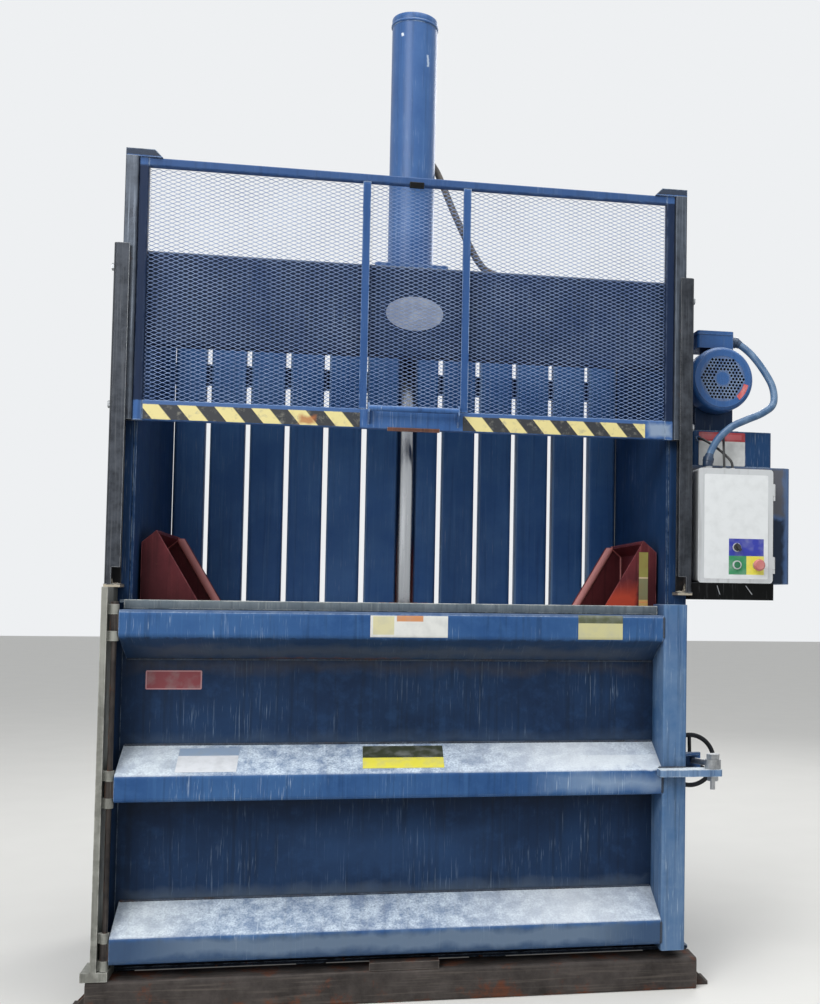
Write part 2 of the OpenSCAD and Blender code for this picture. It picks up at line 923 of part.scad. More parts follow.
module flange_bolt_holes(z) {
    at_flange_bolts()
        translate([0, 0, z[0]])
            cylinder(d = flange_bolt_d + 1, h = z[1] - z[0]);
}

// Bolts through the cylinder's flange and the crosshead plate, and the guides'
module frame_bolts() {
    flange_bolts();
    guide_bolts();
}

module flange_bolts() {
    head = 13;
    under = crosshead_top - head_plate_t;
    color(bare)
        at_flange_bolts() {
            translate([0, 0, flange_z + flange_t])
                cylinder(r = flange_bolt_d * 0.87, h = head, $fn = 6);
            translate([0, 0, under - head - 4])
                cylinder(d = flange_bolt_d, h = flange_z + flange_t - under + head + 4);
            translate([0, 0, under - head])
                cylinder(r = flange_bolt_d * 0.87, h = head, $fn = 6);
        }
}

// Gate guide: a formed channel that opens towards the gate, cut back at its
// foot, over a bottom plate that stops the gate
module guide() {
    web = frame_x;
    front = guide_y;
    z = guide_bottom + guide_lip;
    color(bare) {
        difference() {
            along_z([z, wall_top - 2])
                formed([
                    [web - guide_front_w, front], [web, front],
                    [web, -half_d], [web - guide_rear_w, -half_d]
                ], bend_r, guide_t);
            span([web - guide_front_w - 1, web - guide_t - bend_r],
                [front - 1, front + guide_t + 1], [z - 1, guide_bottom + guide_cut]);
            for (h = guide_bolt_z)
                translate([web - guide_t - 1, front + guide_d / 2, h])
                    rotate([0, 90, 0])
                        cylinder(d = guide_bolt_d + 0.4, h = guide_t + 2);
        }
        span([web - guide_front_w - 2, web], [front, -half_d], [guide_bottom, z]);
    }
}

// Bolts in the guides' webs, with their heads outside
module guide_bolts() {
    color(bare)
        both_sides()
            for (h = guide_bolt_z)
                translate([frame_x, guide_y + guide_d / 2, h])
                    rotate([0, 90, 0]) {
                        cylinder(r = guide_bolt_d * 0.95, h = 9, $fn = 6);
                        translate([0, 0, 0.2 - guide_t])
                            cylinder(d = guide_bolt_d, h = guide_t);
                    }
}

// Cylinder tube with its square flange and the two hose ports behind
module cylinder_tube() {
    port_z = [tube_z + 32, hose_cap_path[0].z];
    color(blue)
        difference() {
            union() {
                translate([0, 0, tube_z])
                    cylinder(r = tube_r, h = tube_top - tube_z);
                along_z([flange_z, flange_z + flange_t])
                    round_rect([-flange_w / 2, flange_w / 2], [-flange_w / 2, flange_w / 2], 12);
                for (z = port_z)
                    translate([0, 0, z])
                        bar_y(20, [0, tube_r + 20]);
            }
            translate([0, 0, tube_z - 1])
                cylinder(r = bore_r, h = tube_top - tube_z + 2);
            flange_bolt_holes([flange_z - 1, flange_z + flange_t + 1]);
            for (z = port_z)
                translate([0, 0, z])
                    bar_y(8, [0, tube_r + 30]);
        }
    color(bare)
        for (z = port_z)
            translate([0, 0, z])
                difference() {
                    bar_y(hose_d / 2 + 3, [tube_r + 20, tube_r + 40], 6);
                    bar_y(8, [tube_r + 19, tube_r + 41]);
                }
}

// End cap: a cup over the top of the tube
module cylinder_cap() {
    color(blue)
        difference() {
            translate([0, 0, tube_top - cap_h])
                cylinder(r = tube_r + cap_wall, h = cap_h + cap_t);
            translate([0, 0, tube_top - cap_h - 1])
                cylinder(r = tube_r, h = cap_h + 1);
        }
}

// Gland: a collar below the tube and a spigot inside it, bored for the rod
module cylinder_gland() {
    color(bare)
        difference() {
            union() {
                translate([0, 0, tube_z - gland_h])
                    cylinder(r = tube_r + 2, h = gland_h);
                translate([0, 0, tube_z - gland_h])
                    cylinder(r = bore_r - 0.1, h = gland_h + gland_in);
            }
            translate([0, 0, tube_z - gland_h - 1])
                cylinder(r = rod_d / 2 + run_fit, h = gland_h + gland_in + 2);
        }
}

module piston() {
    groove = 4;
    color(bare)
        difference() {
            translate([0, 0, piston_z])
                cylinder(r = bore_r - run_fit, h = piston_h);
            for (z = [piston_z + piston_h * 0.3, piston_z + piston_h * 0.6])
                translate([0, 0, z])
                    difference() {
                        cylinder(r = bore_r + 1, h = 6);
                        translate([0, 0, -1])
                            cylinder(r = bore_r - groove, h = 8);
                    }
        }
}

module piston_rod() {
    color("#d4d6d8")
        translate([0, 0, rod_z])
            cylinder(d = rod_d, h = rod_l);
}

// Round flange under the rod, with its ring of bolts
module rod_flange() {
    color(red)
        translate([0, 0, platen_top])
            cylinder(d = rod_flange_d, h = rod_flange_h);
    color(bare)
        for (a = [0:60:300])
            rotate([0, 0, a])
                translate([(rod_flange_d + rod_d) / 4 + 6, 0, rod_z])
                    cylinder(r = 14, h = 10, $fn = 6);
}

// Platen: a hollow box with tie grooves across its face
module platen() {
    groove_d = platen_t * 0.7;
    web_x = [for (s = [-1, 1]) s * (platen_x - wing_l)];
    cells = [
        [-platen_x + platen_t, web_x[0] - platen_t / 2],
        [web_x[0] + platen_t / 2, web_x[1] - platen_t / 2],
        [web_x[1] + platen_t / 2, platen_x - platen_t]
    ];
    bottom = platen_top - platen_h;
    color(red)
        difference() {
            span([-platen_x, platen_x], [-platen_y, platen_y], [bottom, platen_top]);
            for (c = cells)
                span(c, [-platen_y + platen_t, platen_y - platen_t],
                    [bottom + platen_t, platen_top - platen_t]);
            for (x = slot_x)
                span([x - slot_w / 2, x + slot_w / 2], [-platen_y - 1, platen_y + 1],
                    [bottom - 1, bottom + groove_d]);
        }
}

// Wing: two shaped plates that join at the outer web
module wing_outline() {
    polygon([
        [platen_x - wing_l, platen_top], [platen_x, platen_top],
        [platen_x, platen_top + wing_edge_h],
        [platen_x - wing_peak, platen_top + wing_h]
    ]);
}

// Round bar welded along the far plate's slope, cut level at both ends
module wing_bar() {
    run = wing_l - wing_peak;
    end_cut = 5;
    intersection() {
        translate([platen_x - wing_l, wing_back - wing_t / 2, platen_top])
            rotate([0, atan2(run, wing_h), 0])
                translate([0, 0, -wing_bar_r])
                    cylinder(r = wing_bar_r, h = norm([run, wing_h]) + wing_bar_r);
        span([platen_x - wing_l - 2 * wing_bar_r, platen_x],
            [wing_back - wing_t - wing_bar_r, wing_back + wing_bar_r],
            [platen_top, platen_top + wing_h - end_cut]);
    }
}

module wing() {
    color(red) {
        along_y([-wing_front, -wing_front + wing_t])
            wing_outline();
        along_y([wing_back - wing_t, wing_back])
            wing_outline();
        span([platen_x - wing_t, platen_x], [-wing_front + wing_t, wing_back - wing_t],
            [platen_top, platen_top + wing_edge_h]);
        along_y([-wing_front + wing_t, wing_back - wing_t])
            polygon([
                [platen_x, platen_top + wing_edge_h - wing_t],
                [platen_x, platen_top + wing_edge_h],
                [platen_x - wing_peak, platen_top + wing_h],
                [platen_x - wing_peak, platen_top + wing_h - wing_t]
            ]);
        wing_bar();
    }
}

// Strip that shows the fill level, on the right wing's front plate
module level_strip() {
    right = platen_x - wing_peak + strip_w / 2;
    color(yellow)
        span([right - strip_w, right], [-wing_front - tape_t, -wing_front],
            [platen_top + wing_edge_h - strip_h, platen_top + wing_edge_h]);
}

// Door skin: a flat sheet whose top edge is bent forward into a lip
module door_skin() {
    color(blue) {
        along_x([-door_left, latch_post_left])
            formed([
                [skin_back, door_bottom], [skin_back, door_top],
                [skin_front - lip_d + skin_t, door_top]
            ], bend_r, skin_t);
        span([latch_post_left, latch_post_x], [skin_front, skin_back], [door_bottom, door_top - bend_r]);
    }
}

// Line of a rib's outside, from the skin round the face and back: its slope is
// above the face, or below it when turned over
function rib_line(z, over) =
    let (back = skin_front + 20)
    let (rise = rib_slope * (rib_d + 20) / rib_d)
    over
        ? [[back, z], [door_front, z], [door_front, z - rib_face], [back, z - rib_face - rise]]
        : [[back, z + rib_face + rise], [door_front, z + rib_face], [door_front, z], [back, z]];

module rib(z, over) {
    line = rib_line(z, over);
    low = min([for (p = line) p.y]) - 1;
    module before_skin() {
        intersection() {
            children();
            translate([door_front - 1, low])
                square([rib_d + 1, rib_face + 2 * rib_slope]);
        }
    }
    along_x([rib_left, latch_post_left])
        before_skin()
            formed(line, bend_r, rib_t);
    along_x([rib_left, rib_left + rib_t])
        before_skin()
            polygon(edge_line(line, bend_r, 0));
}

// Three formed ribs: the upper one is the lower ones' section turned over
module door_ribs() {
    color(blue) {
        rib(rib_low, false);
        rib(rib_mid, false);
        rib(rib_high, true);
    }
}

// Latch post: a tube with a cap, along the door's free edge
module latch_post() {
    top = door_top + latch_post_rise;
    color(blue) {
        along_z([door_bottom - 3, top - section_t])
            tube_section([latch_post_left, latch_post_x], [door_front, skin_front], 8, section_t);
        along_z([top - section_t, top])
            round_rect([latch_post_left, latch_post_x], [door_front, skin_front], 8);
    }
}

// Door knuckles, each welded to the end of a rib
module door_knuckles() {
    leaf = knuckle_d / 2 - 4;
    color(bare)
        for (z = knuckle_z)
            difference() {
                union() {
                    translate([-hinge_x, hinge_y, z])
                        cylinder(d = knuckle_d, h = knuckle_h);
                    span([-hinge_x + 9.5, rib_left], [hinge_y - leaf, hinge_y + leaf], [z, z + knuckle_h]);
                }
                translate([-hinge_x, hinge_y, z - 1])
                    cylinder(d = hinge_rod_d + 2 * pivot_fit, h = knuckle_h + 2);
            }
}

// Fixed side of the hinge: a tall plate on a foot, with a lug above and below
// each door knuckle
module hinge_plate() {
    foot_z = base_h + hinge_foot_h;
    lugs = [for (z = knuckle_z) each [z - lug_gap - lug_h, z + knuckle_h + lug_gap]];
    lug_z = [for (z = lugs) max(z, foot_z)];
    color(blue) {
        span([hinge_plate_x, hinge_plate_x + hinge_plate_t], [door_front, -half_d], [foot_z, guide_bottom]);
        span([hinge_plate_x - 28, -hinge_x + 12], [door_front, sill_y + sill_d], [base_h, foot_z]);
    }
    color(bare)
        for (i = [0:len(lugs) - 1]) {
            top = lugs[i] + lug_h;
            difference() {
                union() {
                    translate([-hinge_x, hinge_y, lug_z[i]])
                        cylinder(d = knuckle_d, h = top - lug_z[i]);
                    span([-hinge_x - plate_gap, -hinge_x],
                        [hinge_y, hinge_y + knuckle_d / 2], [lug_z[i], top]);
                }
                translate([-hinge_x, hinge_y, lug_z[i] - 1])
                    cylinder(d = hinge_rod_d + 2 * pivot_fit, h = lug_h + 2);
            }
        }
}

// Hinge rod through all the knuckles, with a head on the top lug
module hinge_rod() {
    bottom = base_h + hinge_foot_h;
    top = knuckle_z[2] + knuckle_h + lug_gap + lug_h;
    color(bare)
        translate([-hinge_x, hinge_y, 0]) {
            translate([0, 0, bottom])
                cylinder(d = hinge_rod_d, h = top - bottom);
            translate([0, 0, top])
                cylinder(d = knuckle_d - 4, h = 8);
        }
}

// Hasp: a flat bar across the latch post, drilled for the pivot bolt
module hasp() {
    color(blue)
        difference() {
            along_z([hasp_top - hasp_t, hasp_top])
                round_rect(hasp_x, [door_front - hasp_d, door_front], 10);
            translate([latch_x, latch_y, hasp_top - hasp_t - 1])
                cylinder(d = pivot_d + 2 * pivot_fit, h = hasp_t + 2);
        }
}

// Pivot bolt: head over the screw's eye, nut and tail under the hasp
module hasp_bolt() {
    eye_top = hasp_top + 2 * eye_seat + eye_h;
    color(bare)
        translate([latch_x, latch_y, 0]) {
            translate([0, 0, eye_top])
                cylinder(r = 22, h = hex_h, $fn = 6);
            translate([0, 0, hasp_top - hasp_t - hex_h - 28])
                cylinder(d = pivot_d, h = eye_top - hasp_top + hasp_t + hex_h + 28);
            translate([0, 0, hasp_top - hasp_t - hex_h])
                cylinder(r = 19, h = hex_h, $fn = 6);
        }
}

// The latch screw's own frame: along +Y from the eye, drooping at the wheel
module on_screw() {
    translate([latch_x, latch_y, eye_z])
        rotate([-screw_tilt, 0, 0])
            children();
}

// Eye: a round block on the pivot bolt, cross drilled for the screw's end
module screw_eye() {
    color(bare)
        difference() {
            translate([latch_x, latch_y, eye_z - eye_h / 2])
                cylinder(r = eye_r, h = eye_h);
            translate([latch_x, latch_y, eye_z - eye_h])
                cylinder(d = pivot_d + 2 * pivot_fit, h = 2 * eye_h);
            on_screw()
                bar_y(screw_d / 2 + eye_play, [screw_start - 0.5, eye_r + 2]);
        }
}

module latch_screw() {
    color(bare)
        on_screw()
            union() {
                translate([0, screw_start, 0])
                    rotate([-90, 0, 0])
                        cylinder(d1 = screw_d * 0.5, d2 = screw_d, h = eye_grip + 8);
                bar_y(screw_d / 2, [eye_r + 8, hub_start + hub_l + screw_tail]);
            }
}

// Handwheel: round rim, three spokes and a long hub that runs on the screw
module handwheel() {
    mid = hub_start + hub_l / 2;
    color(black)
        on_screw()
            difference() {
                union() {
                    bar_y(hub_r, [hub_start, hub_start + hub_l]);
                    translate([0, mid, 0])
                        rotate([90, 0, 0])
                            rotate_extrude()
                                translate([wheel_r - rim_r, 0])
                                    circle(rim_r);
                    translate([0, mid, 0])
                        for (a = [0, 120, 240])
                            rotate([0, a, 0])
                                cylinder(r = rim_r * 0.8, h = wheel_r - rim_r);
                }
                bar_y(screw_d / 2 + pivot_fit, [hub_start - 1, hub_start + hub_l + 1]);
            }
}

// Receiver: a plate on the post's side with two ribs, bored for the screw
module receiver() {
    low = receiver_z - receiver_h / 2;
    y = [receiver_back - receiver_t, receiver_back];
    rib_w = 8;
    color(blue)
        difference() {
            union() {
                span([frame_x, frame_x + receiver_l], y, [low, low + receiver_h]);
                for (z = [low, low + receiver_h - rib_w])
                    along_z([z, z + rib_w])
                        polygon([
                            [frame_x, y[0] - receiver_l * 0.6], [frame_x + receiver_l - 6, y[0]],
                            [frame_x, y[0]]
                        ]);
            }
            on_screw()
                bar_y(screw_d / 2 + pivot_fit, [eye_r + 10, hub_start + hub_l]);
        }
}

// Gate frame: tubes on all sides, two upright bars and two corner pieces
module gate_frame() {
    y = [gate_front, gate_back];
    corner_y = [gate_front + gate_tube_d / 2 - corner_d / 2, gate_front + gate_tube_d / 2 + corner_d / 2];
    color(blue) {
        along_x([-mesh_x, mesh_x])
            tube_section(y, [gate_bottom, mesh_z[0]], 5, gate_wall);
        along_x([-mesh_x, mesh_x])
            tube_section(y, [mesh_z[1], gate_top], 5, gate_wall);
        both_sides()
            along_z([gate_bottom, gate_top])
                tube_section([mesh_x, gate_side_x], y, 5, gate_wall);
        both_sides()
            span([gate_bar_x - gate_bar_w / 2, gate_bar_x + gate_bar_w / 2],
                [gate_front, mesh_y], mesh_z);
        both_sides()
            along_y(corner_y)
                polygon([
                    [slide_x - corner_l, gate_top], [slide_x, gate_top],
                    [slide_x, gate_top + corner_h], [slide_x - corner_l + corner_h, gate_top + corner_h]
                ]);
    }
}

// Bare slide rails that run in the guides
module gate_rails() {
    color(bare)
        both_sides()
            along_z([gate_bottom, gate_top])
                tube_section([gate_side_x, slide_x], [slide_y - slide_w, slide_y], 5, gate_wall);
}

// Expanded metal: a sheet pierced by staggered rows of blunt diamonds
module diamond() {
    a = (mesh_long - mesh_strand * 3) / 2;
    b = (mesh_short - mesh_strand) / 2;
    flat = mesh_long * 0.07;
    polygon([[-a, 0], [-flat, b], [flat, b], [a, 0], [flat, -b], [-flat, -b]]);
}

module gate_mesh() {
    cols = floor(2 * mesh_x / mesh_long);
    rows = floor(2 * (mesh_z[1] - mesh_z[0]) / mesh_short) - 1;
    z0 = (mesh_z[0] + mesh_z[1]) / 2 - (rows - 1) * mesh_short / 4;
    color("#5f6f86")
        along_y([mesh_y, mesh_y + mesh_t])
            difference() {
                translate([-mesh_x, mesh_z[0]])
                    square([2 * mesh_x, mesh_z[1] - mesh_z[0]]);
                for (j = [0:rows - 1]) {
                    n = cols - j % 2;
                    for (i = [0:n - 1])
                        translate([(i - (n - 1) / 2) * mesh_long, z0 + j * mesh_short / 2])
                            diamond();
                }
            }
}

// Handle: a round bar held before the bottom rail by two gussets
module gate_handle() {
    bar_at = [gate_front - handle_d + handle_r, gate_bottom + handle_top - handle_r];
    color(blue) {
        along_x([-handle_half + 1, handle_half - 1])
            translate(bar_at)
                circle(handle_r);
        both_sides()
            along_x([handle_half - handle_t, handle_half])
                polygon([
                    [gate_front, gate_bottom + 12], [gate_front, gate_bottom + handle_top + 14],
                    [bar_at.x - handle_r, gate_bottom + handle_top + 4],
                    [bar_at.x - handle_r, bar_at.y - handle_r - 4]
                ]);
    }
}

module hazard_strips() {
    color(yellow)
        for (x = tape_x)
            span(x, [gate_front - tape_t, gate_front], [gate_bottom + 3, mesh_z[0] - 3]);
}

// Wear pads round the slide rails, a running gap inside the guides
module gate_pads() {
    out = frame_x - guide_t - pad_gap;
    y = [guide_y + guide_t + pad_gap, -half_d - guide_t - pad_gap];
    color(black)
        both_sides()
            for (z = [gate_bottom + 45, wall_top - 40 - pad_h])
                difference() {
                    along_z([z, z + pad_h])
                        round_rect([gate_side_x + slide_w * 0.6, out], y, bend_r);
                    span([gate_side_x - 1, slide_x], [slide_y - slide_w, slide_y], [z - 1, z + pad_h + 1]);
                }
}

// Shelf: a plate with an apron, on two upright ribs
module pack_shelf() {
    front = -half_d - shelf_front;
    right = frame_x + shelf_l;
    low = shelf_top - shelf_h;
    color(black) {
        span([frame_x, right], [front, front + shelf_d], [shelf_top - shelf_t, shelf_top]);
        span([frame_x, right], [front, front + shelf_t], [low, shelf_top - shelf_t]);
        span([right - shelf_t, right], [front + shelf_t, front + shelf_d], [low, shelf_top - shelf_t]);
        for (y = [front + 60, front + shelf_d - 50])
            span([frame_x, right - shelf_t], [y, y + shelf_t], [low, shelf_top - shelf_t]);
    }
}

// A closed hollow box with round upright edges
module rounded_box(x, y, z, r, t) {
    difference() {
        along_z(z)
            round_rect(x, y, r);
        along_z([z[0] + t, z[1] - t])
            round_rect([x[0] + t, x[1] - t], [y[0] + t, y[1] - t], r - t);
    }
}

module oil_tank() {
    x = [frame_x, frame_x + tank_l];
    y = [-tank_front, tank_d - tank_front];
    color("#4c6a93")
        difference() {
            union() {
                rounded_box(x, y, [tank_z, tank_top], tank_r, tank_t);
                translate([filler_at.x, filler_at.y, tank_top])
                    cylinder(d = filler_d - 14, h = 14);
            }
            translate([filler_at.x, filler_at.y, tank_top - tank_t - 1])
                cylinder(d = filler_d - 24, h = tank_t + 20);
        }
}

// Filler cap: a knurled cup that turns on the tank's neck
module filler_cap() {
    inner = (filler_d - 14) / 2 + 0.3;
    color(black)
        translate([filler_at.x, filler_at.y, tank_top + 0.5])
            difference() {
                cylinder(d = filler_d, h = 26);
                translate([0, 0, -1])
                    cylinder(r = inner, h = 15);
                for (a = [0:15:345])
                    rotate([0, 0, a])
                        translate([filler_d / 2 + 0.8, 0, -1])
                            cylinder(r = 2, h = 30, $fn = 8);
            }
}

// Pump box with the two hose connectors in its back
module pump_box() {
    x = [frame_x + pump_x, frame_x + pump_x + pump_l];
    back = pump_d - tank_front;
    color(dark_blue)
        rounded_box(x, [-tank_front, back], [tank_top, pump_top], 12, tank_t);
    color(bare)
        for (p = [hose_cap_path, hose_gland_path])
            translate([p[len(p) - 1].x, 0, p[len(p) - 1].z])
                bar_y(hose_d / 2 + 4, [back, back + 18], 6);
    color(black)
        for (p = cable_paths)
            translate([p[0].x, 0, p[0].z])
                bar_y(cable_d, [-tank_front - 12, -tank_front]);
}

// Motor mount: a base plate and two saddles under the motor
module motor_mount() {
    y = [motor_y + 20, motor_y + motor_l - 30];
    x = motor_at[0];
    color(dark_blue)
        difference() {
            union() {
                span([x - 90, x + 90], y, [pump_top, pump_top + 10]);
                for (s = [y[0] + 10, y[1] - 30])
                    span([x - 70, x + 70], [s, s + 20], [pump_top, motor_at[1] - motor_r * 0.6]);
            }
            translate([x, 0, motor_at[1]])
                bar_y(motor_r + 0.1, [y[0] - 1, y[1] + 1]);
        }
}

// Motor: finned barrel between two end bells, bored for the fan shaft
module motor_body() {
    core = motor_r - fin_h;
    bell = cover_r - cover_t - 0.2;
    color("#46586f")
        translate([motor_at[0], 0, motor_at[1]])
            difference() {
                union() {
                    along_y([motor_y, motor_y + motor_l])
                        union() {
                            circle(core);
                            for (i = [0:fin_n - 1])
                                rotate(i * 360 / fin_n)
                                    translate([core - 2, -fin_t / 2])
                                        square([fin_h + 1.8, fin_t]);
                        }
                    bar_y(bell, [motor_y, motor_y + 18]);
                    bar_y(motor_r, [motor_y + motor_l - 20, motor_y + motor_l]);
                    span([-40, 40], [motor_y + 20, motor_y + 85], [core - 10, term_z - motor_at[1]]);
                }
                bar_y(shaft_r + pivot_fit, [motor_y - 1, motor_y + 60]);
            }
}

// Fan cover: a cup whose face is pierced by rings of hexagonal holes
module fan_cover() {
    color("#4a4c50")
        translate([motor_at[0], 0, motor_at[1]])
            difference() {
                union() {
                    bar_y(cover_r - 6, [cover_y, cover_y + 6]);
                    translate([0, cover_y + 6, 0])
                        rotate([-90, 0, 0])
                            rotate_extrude()
                                translate([cover_r - 6, 0])
                                    circle(6);
                    bar_y(cover_r, [cover_y + 6, cover_y + cover_d]);
                }
                bar_y(cover_r - cover_t, [cover_y + 6 + cover_t, cover_y + cover_d + 1]);
                bar_y(cover_r - 6 - cover_t, [cover_y + cover_t, cover_y + 7 + cover_t]);
                for (i = [0:len(grille_rings) - 1], k = [0:grille_n - 1])
                    rotate([0, (k + i / 2) * 360 / grille_n, 0])
                        translate([grille_rings[i], 0, 0])
                            bar_y(grille_r, [cover_y - 1, cover_y + cover_t + 1], 6);
            }
}

// Cooling fan: hub, back disc and straight blades on the motor shaft
module motor_fan() {
    y = cover_y + 16;
    color(black)
        translate([motor_at[0], 0, motor_at[1]]) {
            bar_y(shaft_r, [y, motor_y + 50]);
            difference() {
                bar_y(26, [y, y + 40]);
                bar_y(shaft_r - 1, [y - 1, y + 41]);
            }
            difference() {
                bar_y(fan_r - 10, [y + 34, y + 40]);
                bar_y(shaft_r - 1, [y + 33, y + 41]);
            }
            for (a = [0:45:315])
                rotate([0, a, 0])
                    span([20, fan_r], [y + 4, y + 40], [-2, 2]);
        }
}

// Terminal box on the motor, with a hub for the conduit
module terminal_box() {
    x = motor_at[0] - 14;
    hub = conduit_path[0];
    color(dark_blue) {
        along_z([term_z, term_z + term_h])
            round_rect([x - term_w / 2, x + term_w / 2], [term_y, term_y + term_d], 10);
        along_z([term_z + term_h - 14, term_z + term_h - 10])
            round_rect([x - term_w / 2 - 2, x + term_w / 2 - 1], [term_y - 2, term_y + term_d + 2], 10);
    }
    color(bare)
        translate([hub.x - 12, hub.y, hub.z])
            rotate([0, 90, 0])
                cylinder(r = conduit_d / 2 + 4, h = 12, $fn = 6);
}

// Control box: an open case with two hinge lugs and a hub for each cable
module control_box() {
    x = [panel_at.x, panel_at.x + panel_w];
    y = [lid_back + lid_gap, lid_back + lid_gap + panel_d];
    z = [panel_at.z, panel_at.z + panel_h];
    top = [for (p = concat([conduit_path], cable_paths)) p[len(p) - 1]];
    color(pale) {
        difference() {
            along_y(y)
                round_rect(x, z, panel_r);
            along_y([y[0] - 1, y[1] - lid_t])
                round_rect([x[0] + lid_t, x[1] - lid_t], [z[0] + lid_t, z[1] - lid_t], panel_r - lid_t);
        }
        for (h = lid_hinge_z)
            difference() {
                union() {
                    span([x[1], lid_hinge.x + 5], [lid_back + 2, lid_back + 8], [h - 16, h - 1]);
                    span([lid_hinge.x - 1, lid_hinge.x + 5], [lid_hinge.y, lid_back + 8], [h - 16, h - 1]);
                    translate([lid_hinge.x, lid_hinge.y, h - 16])
                        cylinder(r = 5, h = 15);
                    translate([lid_hinge.x, lid_hinge.y, h - 16])
                        cylinder(r = 2.5, h = lid_knuckle_h + 18);
                }
                span([x[0], x[1]], [lid_front, lid_back], [h - 17, h]);
            }
    }
    color(bare)
        for (p = top)
            translate([p.x, p.y, z[1]])
                cylinder(r = (p.x == top[0].x ? conduit_d : cable_d) / 2 + 4, h = p.z - z[1], $fn = 6);
}

// Door of the control box: a shallow pan, bored for the controls, with collars
module box_door() {
    x = [panel_at.x, panel_at.x + panel_w];
    z = [panel_at.z, panel_at.z + panel_h];
    stop = control_at(1, 0);
    start = control_at(0, 0);
    knob = control_at(0, 1);
    color(pale)
        difference() {
            union() {
                along_y([lid_front, lid_back])
                    round_rect(x, z, panel_r);
                for (h = lid_hinge_z) {
                    translate([lid_hinge.x, lid_hinge.y, h])
                        cylinder(r = 5, h = lid_knuckle_h);
                    span([x[1] - 1, lid_hinge.x], [lid_front, lid_front + 4], [h, h + lid_knuckle_h]);
                }
            }
            along_y([lid_front + lid_t, lid_back + 1])
                round_rect([x[0] + lid_t, x[1] - lid_t], [z[0] + lid_t, z[1] - lid_t], panel_r - lid_t);
            for (h = lid_hinge_z)
                translate([lid_hinge.x, lid_hinge.y, h - 1])
                    cylinder(r = 2.5 + pivot_fit, h = lid_knuckle_h + 2);
            for (c = [[start, 5], [stop, 8], [knob, 8]])
                translate([c[0].x, 0, c[0].y])
                    bar_y(c[1] + pivot_fit, [lid_front - 1, lid_front + lid_t + 1]);
        }
    color(bare) {
        collar(start, 15, 11.2, 9);
        collar(stop, 15, 8 + pivot_fit, 7);
        collar(knob, 15, 12, 5);
    }
}

function control_at(i, j) = [panel_at.x + control_x[i], panel_at.z + control_z[j]];

// A ring on the face of the control box door
module collar(at, outer, inner, h) {
    translate([at.x, 0, at.y])
        difference() {
            bar_y(outer, [lid_front - h, lid_front]);
            bar_y(inner, [lid_front - h - 1, lid_front + 1]);
        }
}

module selector() {
    at = control_at(0, 1);
    color(black)
        translate([at.x, 0, at.y]) {
            bar_y(8, [lid_front - 8, lid_front + 14]);
            bar_y(11.5, [lid_front - 14, lid_front - 0.3]);
            rotate([0, -35, 0])
                span([-4, 4], [lid_front - 26, lid_front - 13], [-14, 14]);
        }
}

module start_button() {
    at = control_at(0, 0);
    color("#2f8f4e")
        translate([at.x, 0, at.y]) {
            bar_y(5, [lid_front - 8, lid_front + 14]);
            bar_y(11, [lid_front - 11, lid_front - press - 1]);
        }
}

module stop_button() {
    at = control_at(1, 0);
    color("#c0392f")
        translate([at.x, 0, at.y]) {
            bar_y(8, [lid_front - 24, lid_front + 14]);
            bar_y(20, [lid_front - 28, lid_front - 20]);
            translate([0, lid_front - 28, 0])
                rotate([90, 0, 0])
                    cylinder(r1 = 20, r2 = 15, h = 5);
        }
}

front_sill();
base_frame();
anchor_feet();
floor_plate();
floor_slats();
mirror([1, 0, 0]) side_wall();  // side_wall_left
side_wall();  // side_wall_right
back_slats();
back_rails();
header_panel();
crosshead();
mirror([1, 0, 0]) guide();  // guide_left
guide();  // guide_right
frame_bolts();
cylinder_tube();
cylinder_cap();
cylinder_gland();
piston();
piston_rod();
rod_flange();
platen();
mirror([1, 0, 0]) wing();  // wing_left
wing();  // wing_right
level_strip();
door_skin();
door_ribs();
latch_post();
door_knuckles();
hinge_plate();
hinge_rod();
hasp();
hasp_bolt();
screw_eye();
latch_screw();
handwheel();
receiver();
gate_frame();
gate_rails();
gate_mesh();
gate_handle();
hazard_strips();
gate_pads();
pack_shelf();
oil_tank();
filler_cap();
pump_box();
motor_mount();
motor_body();
fan_cover();
motor_fan();
terminal_box();
control_box();
box_door();
selector();
start_button();
stop_button();
color(dark_blue) hose(conduit_path, conduit_d, 1);  // conduit
color("#5a4a3c") hose(hose_cap_path, hose_d, 2);  // hose_cap
color("#5a4a3c") hose(hose_gland_path, hose_d, 2);  // hose_gland
for (p = cable_paths)  // control_cables
        color(black)
            hose(p, cable_d, 2, 8);
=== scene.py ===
import math

import bpy
import numpy as np
from mathutils import Matrix, Vector
from mathutils.geometry import tessellate_polygon


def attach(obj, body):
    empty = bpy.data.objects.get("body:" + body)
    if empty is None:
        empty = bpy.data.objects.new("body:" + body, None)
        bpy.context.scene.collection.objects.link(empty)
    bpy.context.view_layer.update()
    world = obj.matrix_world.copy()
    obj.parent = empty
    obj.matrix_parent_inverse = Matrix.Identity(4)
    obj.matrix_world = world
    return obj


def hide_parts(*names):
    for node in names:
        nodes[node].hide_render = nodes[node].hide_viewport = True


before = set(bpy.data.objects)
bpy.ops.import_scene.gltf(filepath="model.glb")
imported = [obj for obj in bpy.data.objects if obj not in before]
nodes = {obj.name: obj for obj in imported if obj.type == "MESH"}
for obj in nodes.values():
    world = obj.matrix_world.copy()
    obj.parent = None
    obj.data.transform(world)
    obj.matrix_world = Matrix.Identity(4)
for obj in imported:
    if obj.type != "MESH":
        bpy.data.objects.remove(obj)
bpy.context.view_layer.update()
print("frame loaded:", len(nodes), "nodes")

mm = 0.001

